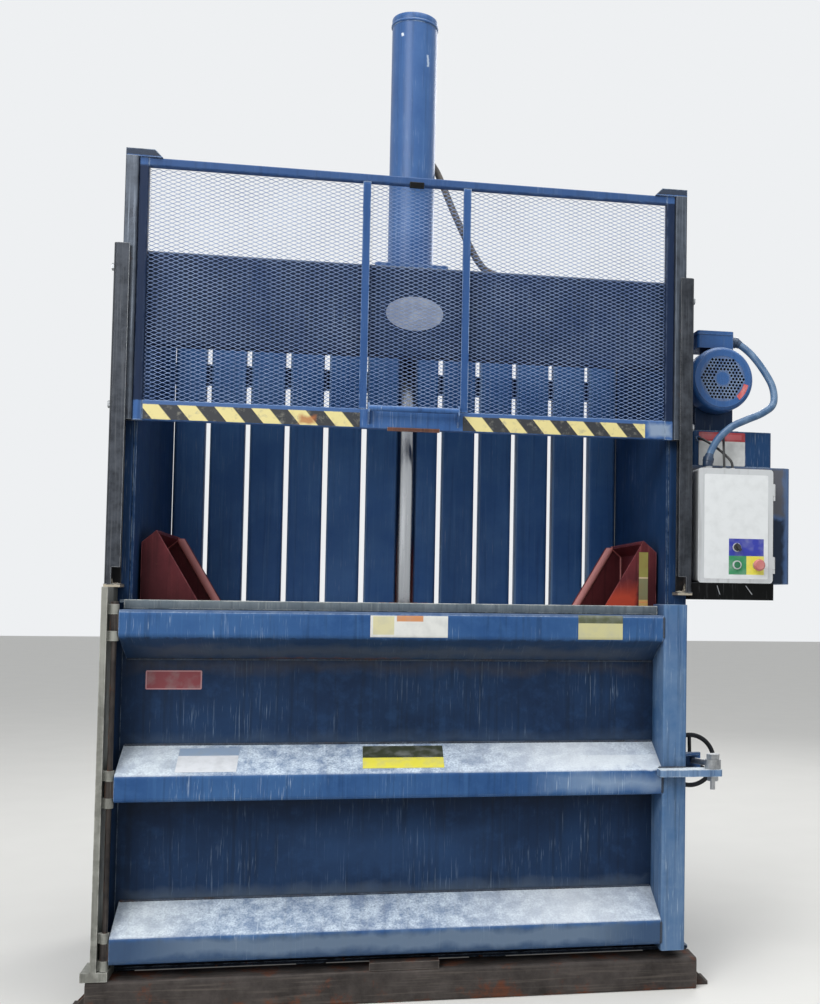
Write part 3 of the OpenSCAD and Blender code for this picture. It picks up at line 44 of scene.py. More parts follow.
# Camera
cameraLook = {
    "place": (-0.198, -4.3706, 1.2707),
    "yaw": 0.179,        # turned to the right, radians
    "pitch": 0.045,      # tilted up
    "roll": -0.014,
    "focalPixels": 1195.9,
    "centrePixels": (565.5, 542.4),
    "imagePixels": (820, 1004),
    "sensor": 36,
    "farEnd": 100,
}


def makeCamera(look):
    # forward from yaw and pitch, then the right and down directions turned by the roll
    yaw, pitch, roll = look["yaw"], look["pitch"], look["roll"]
    forward = Vector((math.sin(yaw) * math.cos(pitch), math.cos(yaw) * math.cos(pitch), math.sin(pitch)))
    level = Vector((math.cos(yaw), -math.sin(yaw), 0))
    drop = forward.cross(level)
    right = math.cos(roll) * level + math.sin(roll) * drop
    down = -math.sin(roll) * level + math.cos(roll) * drop
    width, height = look["imagePixels"]
    cameraData = bpy.data.cameras.new("photoCamera")
    cameraData.sensor_width = look["sensor"]
    cameraData.lens = look["focalPixels"] * look["sensor"] / height
    cameraData.shift_x = -(look["centrePixels"][0] - width / 2) / height
    cameraData.shift_y = (look["centrePixels"][1] - height / 2) / height
    cameraData.clip_end = look["farEnd"]
    camera = bpy.data.objects.new("photoCamera", cameraData)
    bpy.context.scene.collection.objects.link(camera)
    turned = Matrix((right, -down, -forward)).transposed().to_4x4()
    camera.matrix_world = Matrix.Translation(look["place"]) @ turned
    bpy.context.scene.camera = camera


makeCamera(cameraLook)
bpy.context.scene.view_settings.view_transform = "Standard"


def linearColour(hexText):
    # sRGB hex to linear light, with full alpha
    parts = np.array([int(hexText[k:k + 2], 16) for k in (1, 3, 5)]) / 255
    light = np.where(parts <= 0.04045, parts / 12.92, ((parts + 0.055) / 1.055) ** 2.4)
    return (*light.tolist(), 1.0)


def addNode(tree, kind, inputs=None, **settings):
    # One shader node with its settings. An input gets a link where its value is a socket, a linear
    # colour where it is hex text, and else the value itself
    node = tree.nodes.new("ShaderNode" + kind)
    for key, value in settings.items():
        setattr(node, key, value)
    for key, value in (inputs or {}).items():
        if isinstance(value, bpy.types.NodeSocket):
            tree.links.new(value, node.inputs[key])
        else:
            node.inputs[key].default_value = linearColour(value) if isinstance(value, str) else value
    return node


materials = {}


def startFinish(name):
    # a new material, kept under its name: its empty node tree and the object's own coordinates
    finish = bpy.data.materials.new(name)
    finish.use_nodes = True
    finish.node_tree.nodes.clear()
    materials[name] = finish
    return finish.node_tree, addNode(finish.node_tree, "TexCoord").outputs["Object"]


def weatherMaps(tree, here, clouds, streaks, steps, shape=None):
    # Grey maps by name. Clouds: size in mm, detail, roughness. Streaks: size along each axis in mm,
    # shift, detail, distortion. Steps: a map with its start, end, least and most, and a last True
    # where it eases in; or two maps and how they are joined. Shape: maps that are there already.
    maps = dict(shape or {})
    for key, (size, detail, rough) in clouds.items():
        maps[key] = addNode(tree, "TexNoise", {"Vector": here, "Scale": 1000 / size, "Detail": detail,
                                               "Roughness": rough}).outputs["Fac"]
    for key, (sizes, shift, detail, distortion) in streaks.items():
        drawn = addNode(tree, "Mapping", {"Vector": here, "Location": (shift, shift, shift),
                                          "Scale": [1000 / size for size in sizes]})
        maps[key] = addNode(tree, "TexNoise", {"Vector": drawn.outputs[0], "Scale": 1.0, "Detail": detail,
                                               "Distortion": distortion}).outputs["Fac"]
    for key, step in steps.items():
        if isinstance(step[1], str):
            node = addNode(tree, "Math", {0: maps[step[0]], 1: maps[step[1]]}, operation=step[2])
        else:
            node = addNode(tree, "MapRange", {0: maps[step[0]], **dict(enumerate(step[1:5], 1))},
                           interpolation_type="SMOOTHSTEP" if len(step) > 5 else "LINEAR")
        maps[key] = node.outputs[0]
    return maps


# Light and floor
studio = {
    "sky": "#f3f6fa",
    "skyStrength": 0.5,
    "backdrop": "#eef0f2",
    "floor": "#d6d5d1",
    "floorShade": "#cfceca",
    "floorClouds": 3.0,      # in a metre
    "floorHalf": 30,         # m
    "floorLift": 0.16,
    "lamps": {
        # name: place, target, size in metres, watts
        "keyLamp": ((-3.2, -5.2, 5.0), (0, 0, 1.3), 3.5, 250),
        "overheadLamp": ((0.4, -1.6, 6.6), (0, -0.3, 1.0), 4.5, 210),
        "rearLamp": ((2.6, 4.2, 4.6), (0.2, 0, 1.8), 3.0, 110),
    },
}


def makeStudio(look):
    world = bpy.data.worlds.new("studioSky")
    bpy.context.scene.world = world
    world.use_nodes = True
    tree = world.node_tree
    tree.nodes.clear()
    path = addNode(tree, "LightPath")
    seen = addNode(tree, "Math", {0: path.outputs["Is Camera Ray"], 1: path.outputs["Is Glossy Ray"]},
                   operation="MAXIMUM")
    light = addNode(tree, "Background", {"Color": look["sky"], "Strength": look["skyStrength"]})
    shown = addNode(tree, "Background", {"Color": look["backdrop"], "Strength": 1.0})
    mixed = addNode(tree, "MixShader", {0: seen.outputs[0], 1: light.outputs[0], 2: shown.outputs[0]})
    addNode(tree, "OutputWorld", {"Surface": mixed.outputs[0]})

    floorMesh = bpy.data.meshes.new("studioFloor")
    half = look["floorHalf"]
    floorMesh.from_pydata([(-half, -half, 0), (half, -half, 0), (half, half, 0), (-half, half, 0)], [],
                          [(0, 1, 2, 3)])
    floor = bpy.data.objects.new("studioFloor", floorMesh)
    bpy.context.scene.collection.objects.link(floor)
    tree, here = startFinish("paleConcrete")
    cloud = addNode(tree, "TexNoise", {"Vector": here, "Scale": look["floorClouds"], "Detail": 6.0})
    tone = addNode(tree, "Mix", {0: cloud.outputs["Fac"], 6: look["floorShade"], 7: look["floor"]},
                   data_type="RGBA")
    # the camera sees the far floor a little lighter, so that it meets the pale backdrop
    ray = addNode(tree, "LightPath")
    lift = addNode(tree, "MapRange", {0: ray.outputs["Is Camera Ray"], 4: look["floorLift"]})
    shader = addNode(tree, "BsdfPrincipled", {
        "Base Color": tone.outputs[2], "Roughness": 0.9, "Emission Color": look["floor"],
        "Emission Strength": lift.outputs[0],
    })
    addNode(tree, "OutputMaterial", {"Surface": shader.outputs[0]})
    floorMesh.materials.append(materials["paleConcrete"])

    for name, (place, target, size, watts) in look["lamps"].items():
        lampData = bpy.data.lights.new(name, "AREA")
        lampData.shape = "DISK"
        lampData.size = size
        lampData.energy = watts
        lamp = bpy.data.objects.new(name, lampData)
        lamp.location = place
        lamp.rotation_euler = (Vector(target) - Vector(place)).to_track_quat("-Z", "Y").to_euler()
        bpy.context.scene.collection.objects.link(lamp)


makeStudio(studio)
print("camera, light and floor set")


# Painted and bare steel
def shapeMaps(tree, look):
    # maps from the shape: how far a face looks up, how open a corner is within a reach, and how
    # far a rounded normal keeps to the flat one, which falls off at edges
    normal = addNode(tree, "NewGeometry").outputs["Normal"]
    openness = addNode(tree, "AmbientOcclusion", {"Distance": look["cornerReach"] * mm}, samples=6)
    rounded = addNode(tree, "Bevel", {"Radius": look["edge"] * mm}, samples=4)
    flat = addNode(tree, "VectorMath", {0: rounded.outputs[0], 1: normal}, operation="DOT_PRODUCT")
    return {"up": addNode(tree, "SeparateXYZ", {0: normal}).outputs[2],
            "corner": openness.outputs["AO"], "edge": flat.outputs["Value"]}


def zoneLayer(tree, here, zone):
    # The mask and tone of a part of the object. A zone is a box (x, x, y, y, z, z), its tone, its
    # amount, the soft edge's width (one, or one for each axis) and the raggedness, in millimetres.
    # Depth = half size less |point - middle|, in edge widths, least of the three axes; noise in x
    # and z makes it ragged
    box, tone, amount, edge, ragged = zone
    low, high = (np.array(box[k::2], float) * mm for k in (0, 1))
    reach = np.array((ragged, 0, ragged)) * 2.5 * mm
    shake = addNode(tree, "TexNoise", {"Vector": here, "Scale": 1000 / (ragged * 3), "Detail": 5.0})
    place = addNode(tree, "VectorMath", {0: shake.outputs["Color"], 1: reach.tolist(), 2: here},
                    operation="MULTIPLY_ADD")
    widths = np.broadcast_to(edge, 3) * mm
    for operation, amounts in (("SUBTRACT", (low + high + reach) / 2), ("ABSOLUTE", None),
                               ("SUBTRACT", (high - low) / 2), ("MULTIPLY", 1 / widths)):
        inputs = {0: place.outputs[0]}
        if amounts is not None:
            inputs[1] = amounts.tolist()
        place = addNode(tree, "VectorMath", inputs, operation=operation)
    parts = addNode(tree, "SeparateXYZ", {0: place.outputs[0]})
    outer = parts.outputs[0]
    for k in (1, 2):
        outer = addNode(tree, "Math", {0: outer, 1: parts.outputs[k]}, operation="MAXIMUM").outputs[0]
    return addNode(tree, "MapRange", {0: outer, 1: 0.0, 2: -1.0, 4: amount}).outputs[0], tone


def edgeHighlightLayer(tree, here, pitch, offset, width, tone, amount):
    # painted highlight: a pale line every so many millimetres along x, where a sheet's bent edge
    # catches the light
    across = addNode(tree, "SeparateXYZ", {0: here})
    turns = addNode(tree, "Math", {0: across.outputs[0], 1: 1000 / pitch, 2: -offset / pitch},
                    operation="MULTIPLY_ADD")
    share = addNode(tree, "Math", {0: turns.outputs[0]}, operation="FRACT")
    line = width / pitch
    mask = addNode(tree, "MapRange", {0: share.outputs[0], 1: line, 2: 0.6 * line, 4: amount})
    return mask.outputs[0], tone


def weatheredPaint(name, look):
    # Alkyd enamel sprayed on hot rolled steel and left outdoors: satin at best, chalked pale where
    # it faces the sky, with painted sunlight there as well, streaked by rain, dark in its corners
    # with dirt and painted shade, worn on its edges, where the pale tone also stands in as a painted
    # highlight, with rust spots.
    # The orange peel is drawn at 6 mm so that it shows; dents are 300 mm across.
    tree, here = startFinish(name)
    rust = look["rust"]
    maps = weatherMaps(tree, here, {
        "patches": (look["patch"], 6, 0.62), "clouds": (50, 6, 0.68), "speckle": (6, 4, 0.6),
        "spots": (look["rustSpot"], 5, 0.7), "dents": (300, 1, 0.5),
    }, {
        "darkRain": (look["streak"], 0, 4, 0), "paleRain": (look["streak"], 7.3, 4, 0),
        "fine": (look["scratch"], 0, 3, 0.5),
    }, {
        "fade": ("patches", 0.36, 0.68, 0, look["fade"]),
        "mottle": ("clouds", 0.42, 0.66, 0, look["mottle"]),
        "chalked": ("fade", "mottle", "MAXIMUM"),
        "dark": ("darkRain", 0.5, 0.7, 0, look["darkStreaks"], True),
        "pale": ("paleRain", 0.56, 0.76, 0, look["paleStreaks"], True),
        "drawn": ("fine", 0.6, 0.74, 0, look["scratches"]),
        "thin": ("patches", 0.44, 0.62, 0, 1),
        "scratched": ("drawn", "thin", "MULTIPLY"),
        # chalk, and painted sunlight, on faces that look up
        "skywardChalkAndSun": ("up", 0.35, 0.85, 0, look["topFadeAndSun"], True),
        "broken": ("speckle", 0.34, 0.6, 0.5, 1),
        "cloudy": ("clouds", 0.4, 0.6, look["topShare"], 1),
        "specked": ("skywardChalkAndSun", "broken", "MULTIPLY"),
        "bleachedAndSunlit": ("specked", "cloudy", "MULTIPLY"),
        # dirt and painted shade where a corner closes in, within the corner reach
        "held": ("corner", 0.85, 0.3, 0, look["cornerDirtAndShade"]),
        # pale edges: wear, and painted highlights along them
        "wornAndHighlit": ("edge", 0.985, 0.86, 0, look["edgeWearAndHighlight"]),
        "chipped": ("clouds", 0.4, 0.56, 0, 1),
        "edges": ("wornAndHighlit", "chipped", "MULTIPLY"),
        "rusty": ("spots", 0.74 - rust, 0.78 - rust, 0, 1),
        "dull": ("bleachedAndSunlit", "rusty", "MAXIMUM"),
        "rough": ("patches", 0.3, 0.7, *look["roughness"]),
    }, shapeMaps(tree, look))
    layers = [(maps["chalked"], look["chalk"]), (maps["dark"], look["grimeAndShade"]), (maps["pale"], look["chalk"]),
              (maps["scratched"], look["bleachedAndSunlit"]), (maps["bleachedAndSunlit"], look["bleachedAndSunlit"]),
              (maps["held"], look["grimeAndShade"])]
    for zone in look["topSunAndChalkZones"]:
        mask, tone = zoneLayer(tree, here, zone)
        shown = addNode(tree, "Math", {0: mask, 1: maps["skywardChalkAndSun"]}, operation="MULTIPLY")
        layers.append((shown.outputs[0], tone))
    layers += [zoneLayer(tree, here, zone) for zone in look["zones"]]
    layers += [edgeHighlightLayer(tree, here, *highlightLine) for highlightLine in look["highlightLines"]]
    rustTone = addNode(tree, "Mix", {0: maps["clouds"], 6: look["rustDark"], 7: look["rustLight"]},
                       data_type="RGBA")
    layers += [(maps["edges"], look["edgeWearAndHighlightTone"]), (maps["rusty"], rustTone.outputs[2])]
    colour = look["base"]
    for mask, tone in layers:
        colour = addNode(tree, "Mix", {0: mask, 6: colour, 7: tone}, data_type="RGBA").outputs[2]
    roughness = addNode(tree, "Mix", {0: maps["dull"], 2: maps["rough"], 3: 0.88})
    bumped = addNode(tree, "Bump", {"Height": maps["dents"], "Strength": 1.0, "Distance": look["dents"] * mm})
    peel = addNode(tree, "Bump", {"Height": maps["speckle"], "Strength": 0.5, "Distance": 0.25 * mm,
                                  "Normal": bumped.outputs[0]})
    shader = addNode(tree, "BsdfPrincipled", {
        "Base Color": colour, "Roughness": roughness.outputs[0], "Normal": peel.outputs[0],
        "IOR": 1.5, "Specular IOR Level": look["gloss"],
    })
    addNode(tree, "OutputMaterial", {"Surface": shader.outputs[0]})


# The house blue; each piece's paint is this with its own exposure and wear
bluePaint = {
    "base": "#2a5189", "chalk": "#5a82b4", "bleachedAndSunlit": "#bccbdc", "grimeAndShade": "#141f2e",
    "edgeWearAndHighlightTone": "#9fb2c6", "patch": 330, "streak": (16, 16, 420), "scratch": (4, 4, 90),
    "fade": 0.4, "mottle": 0.22, "darkStreaks": 0.35, "paleStreaks": 0.2, "scratches": 0.5,
    "topFadeAndSun": 0.5, "topShare": 0.6, "cornerReach": 90, "cornerDirtAndShade": 0.55, "edge": 5, "edgeWearAndHighlight": 0.7,
    "rust": 0.0, "rustSpot": 60, "roughness": (0.42, 0.66), "gloss": 0.16, "dents": 4,
    "rustDark": "#3a2a24", "rustLight": "#8a5434",
    # tones of their own on parts of a piece, some of them painted light or shade; the top zones
    # show only where the piece faces up
    "zones": [], "topSunAndChalkZones": [], "highlightLines": [],
}
paints = {
    "bluePaint": {},
    # the chamber's inner side walls: the house blue made dark as painted shade
    "chamberPaintShaded": {"base": "#17365d", "chalk": "#2c5080", "topFadeAndSun": 0.3},
    "slatPaint": {"base": "#2f5a94", "chalk": "#5f8abb", "grimeAndShade": "#0c1730", "paleStreaks": 0.3,
                  "mottle": 0.12, "scratches": 0.2, "edgeWearAndHighlightTone": "#6f94bf", "rust": -0.04,
                  "darkStreaks": 0.2, "cornerReach": 120, "cornerDirtAndShade": 0.4,
                  # painted highlights on the slats' bent edges
                  "highlightLines": [(149.4, 10, 8, "#7d9fc6", 0.65)]},
    # the header plate behind the gate: its dark base is painted shade
    "headerPaintShaded": {"base": "#16253f", "chalk": "#28406a", "paleStreaks": 0.15, "fade": 0.3,
                    "scratches": 0.25},
    "postPaint": {"base": "#35608f", "chalk": "#8198b2", "fade": 0.65, "scratches": 0.7, "mottle": 0.5,
                  "paleStreaks": 0.45, "zones": [
        ((815, 910, -570, -400, 1030, 1270), "#285083", 0.6, (4, 4, 160), 30),
    ]},
    # the hasp's near-white top is chalk and painted sunlight; its pale edges are wear and painted highlights
    "haspPaint": {"base": "#4c6f9b", "chalk": "#93abc3", "bleachedAndSunlit": "#e8eff0", "topFadeAndSun": 1.0,
                  "topShare": 0.8, "fade": 0.6, "mottle": 0.5, "edgeWearAndHighlightTone": "#c3d0da", "edgeWearAndHighlight": 0.9},
    "hingePaint": {"base": "#75756f", "chalk": "#adaea6", "bleachedAndSunlit": "#cfd0c8", "grimeAndShade": "#444841",
                   "edgeWearAndHighlightTone": "#c6c7bf", "fade": 0.6, "mottle": 0.5, "darkStreaks": 0.5, "rust": 0.05},
    # the lip's pale top and edges are painted highlights as well as wear
    "lipPaint": {"base": "#66727a", "chalk": "#939b9d", "grimeAndShade": "#30363b", "edgeWearAndHighlightTone": "#d2d3ca",
                 "edgeWearAndHighlight": 1.0, "edge": 6, "mottle": 0.5, "topFadeAndSun": 0.9, "bleachedAndSunlit": "#c9cbc3"},
    # the door's skin between the ribs: its dark base is dirt and painted shade from the ribs
    "skinPaintDirtyAndShaded": {"base": "#122744", "chalk": "#2c4c75", "bleachedAndSunlit": "#8c9fb4", "fade": 0.4,
                  "mottle": 0.36, "darkStreaks": 0.4, "paleStreaks": 0.16, "cornerDirtAndShade": 0.6,
                  "cornerReach": 130, "rust": 0.02, "topFadeAndSun": 0.6, "zones": [
        # dust run down from the ribs, brown where it lies thick; a painted shade band under the middle
        # rib; a lighter blue patch on the panel between the lowest and middle ribs
        ((-900, 840, -430, -390, 1000, 1062), "#4e4a46", 0.45, (90, 4, 40), 30),
        ((-900, 840, -430, -390, 555, 635), "#101a28", 0.55, (90, 4, 50), 30),
        ((-880, 830, -430, -390, 270, 345), "#5a6673", 0.6, (90, 4, 45), 24),
        ((-880, 830, -430, -390, 760, 830), "#46566a", 0.5, (90, 4, 45), 24),
        ((-480, 380, -430, -390, 330, 560), "#33517a", 0.35, (240, 4, 90), 60),
        # a pale grey band at the top of the skin, under the lip
        ((-910, 920, -490, -395, 1206, 1250), "#626c74", 0.85, (6, 4, 6), 6),
    ]},
    # the ribs' near-white slopes, and the top zones that whiten them further, are chalk and painted sunlight
    "ribPaint": {"base": "#284d7f", "chalk": "#4e78a8", "bleachedAndSunlit": "#d8e5f0", "topFadeAndSun": 1.0,
                 "topShare": 0.42,
                 "streak": (14, 260, 320), "scratch": (4, 80, 80), "scratches": 0.5, "fade": 0.45,
                 "rust": 0.02, "darkStreaks": 0.25, "paleStreaks": 0.2, "topSunAndChalkZones": [
        ((100, 980, -565, -400, 140, 800), "#eef3f6", 0.75, (520, 2, 4), 60),
        ((-1000, -560, -565, -400, 140, 800), "#dfe5e6", 0.5, (220, 2, 4), 60),
    ], "zones": [
        # bright wear at the latch end of the middle rib, shade under the door's lip
        ((380, 1000, -600, -480, 716, 800), "#e3eaee", 0.6, (300, 4, 6), 22),
        ((380, 1000, -600, -550, 632, 712), "#b4c7d6", 0.5, (300, 4, 50), 22),
        ((-900, 840, -570, -400, 1203, 1230), "#2e4a70", 0.85, (4, 4, 4), 3),
        # underside of the top rib: shade, dust, and rust along its foot
        ((-890, 840, -556, -400, 1000, 1131), "#232f40", 0.7, (6, 3, 8), 8),
        ((-870, 820, -540, -400, 1050, 1110), "#6a6a66", 0.32, (120, 30, 24), 20),
        ((-500, 20, -450, -400, 1040, 1064), "#6f4730", 0.6, (120, 8, 8), 8),
        # lowest rib's face: grey with splashed dust
        ((-890, 840, -590, -552, 140, 224), "#3f5168", 0.75, (10, 5, 14), 12),
        ((-820, 760, -590, -552, 158, 226), "#8496a8", 0.45, (200, 5, 22), 26),
    ]},
    "gatePaint": {"base": "#345a92", "chalk": "#6086ba", "edgeWearAndHighlightTone": "#a9bcd4", "topFadeAndSun": 0.4,
                  "edgeWearAndHighlight": 0.9, "rust": 0.04, "rustSpot": 40, "cornerDirtAndShade": 0.3, "zones": [
        # painted shade on the inner sides of the gate's side tubes
        ((-884, -846, -460, -400, 1868, 2625), "#0e1930", 0.92, (3, 4, 4), 3),
        ((846, 884, -460, -400, 1868, 2625), "#0e1930", 0.92, (3, 4, 4), 3),
        ((-182, 182, -460, -400, 1875, 2618), "#28497b", 0.75, (3, 4, 4), 3),
        ((-900, 900, -460, -400, 2618, 2660), "#2c456f", 0.7, (60, 4, 4), 10),
        ((786, 880, -460, -400, 1812, 1868), "#a3b2bf", 0.6, (16, 4, 12), 12),
        ((-930, 930, -460, -400, 2650, 2690), "#32373e", 0.9, (3, 4, 3), 3),
    ]},
    "cylinderPaint": {"base": "#2e5286", "chalk": "#5279ab", "fade": 0.5, "darkStreaks": 0.25,
                      "paleStreaks": 0.35, "scratches": 0.3, "rust": 0.02, "rustSpot": 35,
                      "roughness": (0.3, 0.46), "gloss": 0.3, "dents": 1, "zones": [
        # two small painted highlights on the tube near its top
        ((-52, -42, -90, -40, 3296, 3310), "#dfe7ef", 0.9, 3, 3),
        ((40, 52, -90, -40, 3190, 3236), "#b9c7d8", 0.8, 4, 5),
    ]},
    "basePaint": {"base": "#1a2b44", "chalk": "#39506e", "grimeAndShade": "#15171a", "rust": 0.1,
                  "cornerDirtAndShade": 0.8},
    "tankPaint": {"base": "#43618f", "chalk": "#8294b0", "grimeAndShade": "#30343a", "darkStreaks": 0.5,
                  "paleStreaks": 0.35, "zones": [
        ((940, 1338, -320, -285, 1560, 1745), "#5d5a59", 0.85, (14, 3, 16), 10),
        # painted shadow of the control box on the tank's front
        ((940, 1338, -320, -285, 1300, 1562), "#15181d", 0.85, (14, 3, 12), 10),
    ]},
    "pumpPaint": {"base": "#103359", "chalk": "#255081", "fade": 0.3, "darkStreaks": 0.2,
                  "roughness": (0.3, 0.5), "gloss": 0.25},
    "motorPaint": {"base": "#2a558e", "chalk": "#4674ad", "fade": 0.3, "darkStreaks": 0.15,
                   "paleStreaks": 0.1, "roughness": (0.25, 0.38), "edgeWearAndHighlight": 0.25, "dents": 1,
                   "gloss": 0.4, "rust": -0.04, "topFadeAndSun": 0.35, "scratches": 0.15, "mottle": 0.1},
    "grillePaint": {"base": "#4b6590", "chalk": "#7f8dab", "fade": 0.5, "rust": -0.04, "dents": 0,
                    "cornerDirtAndShade": 0.2, "scratches": 0.1},
    # the red's dark base, and its wide, strong corner darkening, are painted shade inside the wings
    "redPaint": {"base": "#561f26", "chalk": "#8a4043", "bleachedAndSunlit": "#bd8280", "grimeAndShade": "#1b0a0d",
                 "edgeWearAndHighlightTone": "#a96466", "fade": 0.5, "rust": 0.03, "topFadeAndSun": 0.5,
                 "cornerReach": 220, "cornerDirtAndShade": 0.75, "zones": [
        # painted sunlight: the pale salmon bar along the wings' slopes, and the bright patch on the right
        # wing
        ((-862, 862, 200, 222.5, 1195, 1480), "#eaa5a1", 0.9, (3, 2, 3), 4),
        ((640, 800, -320, -285, 1150, 1330), "#bd4a34", 0.85, (20, 3, 60), 16),
    ]},
    "blackPaint": {"base": "#070808", "chalk": "#101112", "bleachedAndSunlit": "#7c7e80", "grimeAndShade": "#08090a",
                   "edgeWearAndHighlightTone": "#4c5054", "topFadeAndSun": 0.4, "scratches": 0.2, "gloss": 0.1},
    "greyEnamel": {"base": "#c0c3c5", "chalk": "#d3d6d8", "bleachedAndSunlit": "#e6e8e9", "grimeAndShade": "#6d6c68",
                   "edgeWearAndHighlightTone": "#e4e6e8", "darkStreaks": 0.22, "paleStreaks": 0.1, "scratches": 0.1,
                   "cornerDirtAndShade": 0.4, "cornerReach": 30, "rust": -0.04, "dents": 1, "gloss": 0.4,
                   "roughness": (0.32, 0.46)},
}
for paintName, changes in paints.items():
    weatheredPaint(paintName, {**bluePaint, **changes})


def weatheredSteel(name, look):
    # Hot rolled mild steel without paint: a grey metal dulled by scale, with pale streaks, bright
    # worn edges that also serve as painted highlights, and rust that grows from the corners.
    tree, here = startFinish(name)
    rust = look["rust"]
    maps = weatherMaps(tree, here, {
        "clouds": (look["patch"], 8, 0.68), "spots": (look["rustSpot"], 6, 0.7), "pits": (9, 5, 0.5),
    }, {"grain": (look["grain"], 0, 4, 0)}, {
        "tone": ("clouds", 0.32, 0.68, 0, 1),
        "streaks": ("grain", 0.52, 0.72, 0, look["streaks"]),
        "near": ("corner", 1.0, 0.2, rust, rust + look["cornerRust"]),
        "reach": ("spots", "near", "ADD"),
        "rusty": ("reach", 0.66, 0.78, 0, 1),
        "wornAndHighlit": ("edge", 0.985, 0.86, 0, look["edgeWearAndHighlight"]),
        "rough": ("clouds", 0.3, 0.7, *look["roughness"]),
        "metal": ("rusty", 0, 1, look["metallic"], 0),
    }, shapeMaps(tree, look))
    rustTone = addNode(tree, "Mix", {0: maps["grain"], 6: look["rustDark"], 7: look["rustLight"]},
                       data_type="RGBA")
    layers = [(maps["tone"], look["light"]), (maps["streaks"], look["mark"]),
              (maps["rusty"], rustTone.outputs[2]), (maps["wornAndHighlit"], look["edgeWearAndHighlightTone"])]
    layers += [zoneLayer(tree, here, zone) for zone in look["zones"]]
    colour = look["dark"]
    for mask, tone in layers:
        colour = addNode(tree, "Mix", {0: mask, 6: colour, 7: tone}, data_type="RGBA").outputs[2]
    roughness = addNode(tree, "Mix", {0: maps["rusty"], 2: maps["rough"], 3: 0.92})
    bumped = addNode(tree, "Bump", {"Height": maps["pits"], "Strength": 0.6, "Distance": look["pits"] * mm})
    shader = addNode(tree, "BsdfPrincipled", {
        "Base Color": colour, "Roughness": roughness.outputs[0], "Metallic": maps["metal"],
        "Normal": bumped.outputs[0], "Specular IOR Level": 0.25,
    })
    addNode(tree, "OutputMaterial", {"Surface": shader.outputs[0]})


bareSteel = {
    "dark": "#3f4349", "light": "#74797f", "mark": "#8d9092", "edgeWearAndHighlightTone": "#b9bcbe",
    "rustDark": "#3b2c26", "rustLight": "#6f4a36", "patch": 70, "grain": (5, 5, 260),
    "streaks": 0.35, "rust": -0.06, "cornerRust": 0.2, "cornerReach": 60, "rustSpot": 45, "edge": 3,
    "edgeWearAndHighlight": 0.6, "roughness": (0.42, 0.62), "metallic": 0.75, "pits": 0.5, "zones": [],
}
steels = {
    "bareSteel": {},
    "guideSteel": {"dark": "#26292e", "light": "#4a4e55", "patch": 45, "mark": "#6d7074", "zones": [
        # shade inside the open foot of the guides, and the pale lip that holds the chaff
        ((-942, 942, -468, -396, 1288, 1348), "#1c1a19", 0.75, (6, 3, 8), 6),
        ((-950, 950, -480, -396, 1270, 1290), "#c4baa6", 0.8, (4, 4, 4), 6),
    ]},
    "hingeSteel": {"dark": "#1c1b1e", "light": "#48423e", "mark": "#6d6760", "rust": 0.04,
                   "metallic": 0.4, "edgeWearAndHighlightTone": "#7d7870"},
    "railSteel": {"dark": "#30353d", "light": "#565e69", "mark": "#858e9b", "streaks": 0.5,
                  "metallic": 0.4, "roughness": (0.3, 0.5)},
    "rustySteel": {"dark": "#2f2b29", "light": "#595350", "mark": "#7d746c", "grain": (240, 8, 8),
                   "rust": 0.07, "cornerRust": 0.14, "rustDark": "#3a2a24", "rustLight": "#7d4a33",
                   "rustSpot": 90, "patch": 120, "metallic": 0.25, "roughness": (0.7, 0.9),
                   "edgeWearAndHighlightTone": "#9a948c", "pits": 1.5},
    "zincSteel": {"dark": "#8a8d90", "light": "#b9bcbf", "mark": "#d3d5d6", "patch": 25,
                  "roughness": (0.3, 0.5), "metallic": 0.85, "rust": -0.03},
    "meshPaint": {"dark": "#5871a0", "light": "#8b9fc3", "mark": "#a3b2cb", "edgeWearAndHighlightTone": "#b7c1d2",
                  "patch": 200, "metallic": 0.0, "roughness": (0.45, 0.6), "rust": -0.05,
                  "edgeWearAndHighlight": 0.0},
    "weldSteel": {"dark": "#2b2f37", "light": "#4b5666", "mark": "#6b7480", "patch": 40,
                  "metallic": 0.2, "rust": 0.02, "cornerRust": 0.1, "roughness": (0.5, 0.75),
                  "edgeWearAndHighlight": 0.0},
    "castBlack": {"dark": "#141518", "light": "#26292e", "mark": "#3b3f46", "edgeWearAndHighlightTone": "#5b6068",
                  "patch": 30, "metallic": 0.2, "rust": -0.08, "roughness": (0.38, 0.55)},
    "brownStrip": {"dark": "#4a3029", "light": "#7b5040", "mark": "#94705c", "metallic": 0.1,
                   "rust": 0.04, "roughness": (0.6, 0.8)},
}
for steelName, changes in steels.items():
    weatheredSteel(steelName, {**bareSteel, **changes})


# Other finishes
def hardChrome(name, look):
    # Ground and hard-chromed rod: a bright mirror in a narrow tone range, with an oil film wiped
    # along it
    tree, here = startFinish(name)
    maps = weatherMaps(tree, here, {}, {"wiped": (look["wipes"], 0, 3, 0)},
                       {"rough": ("wiped", 0.3, 0.7, *look["roughness"])})
    tone = addNode(tree, "Mix", {0: maps["wiped"], 6: look["dark"], 7: look["light"]}, data_type="RGBA")
    shader = addNode(tree, "BsdfPrincipled", {"Base Color": tone.outputs[2], "Roughness": maps["rough"],
                                              "Metallic": 1.0})
    addNode(tree, "OutputMaterial", {"Surface": shader.outputs[0]})


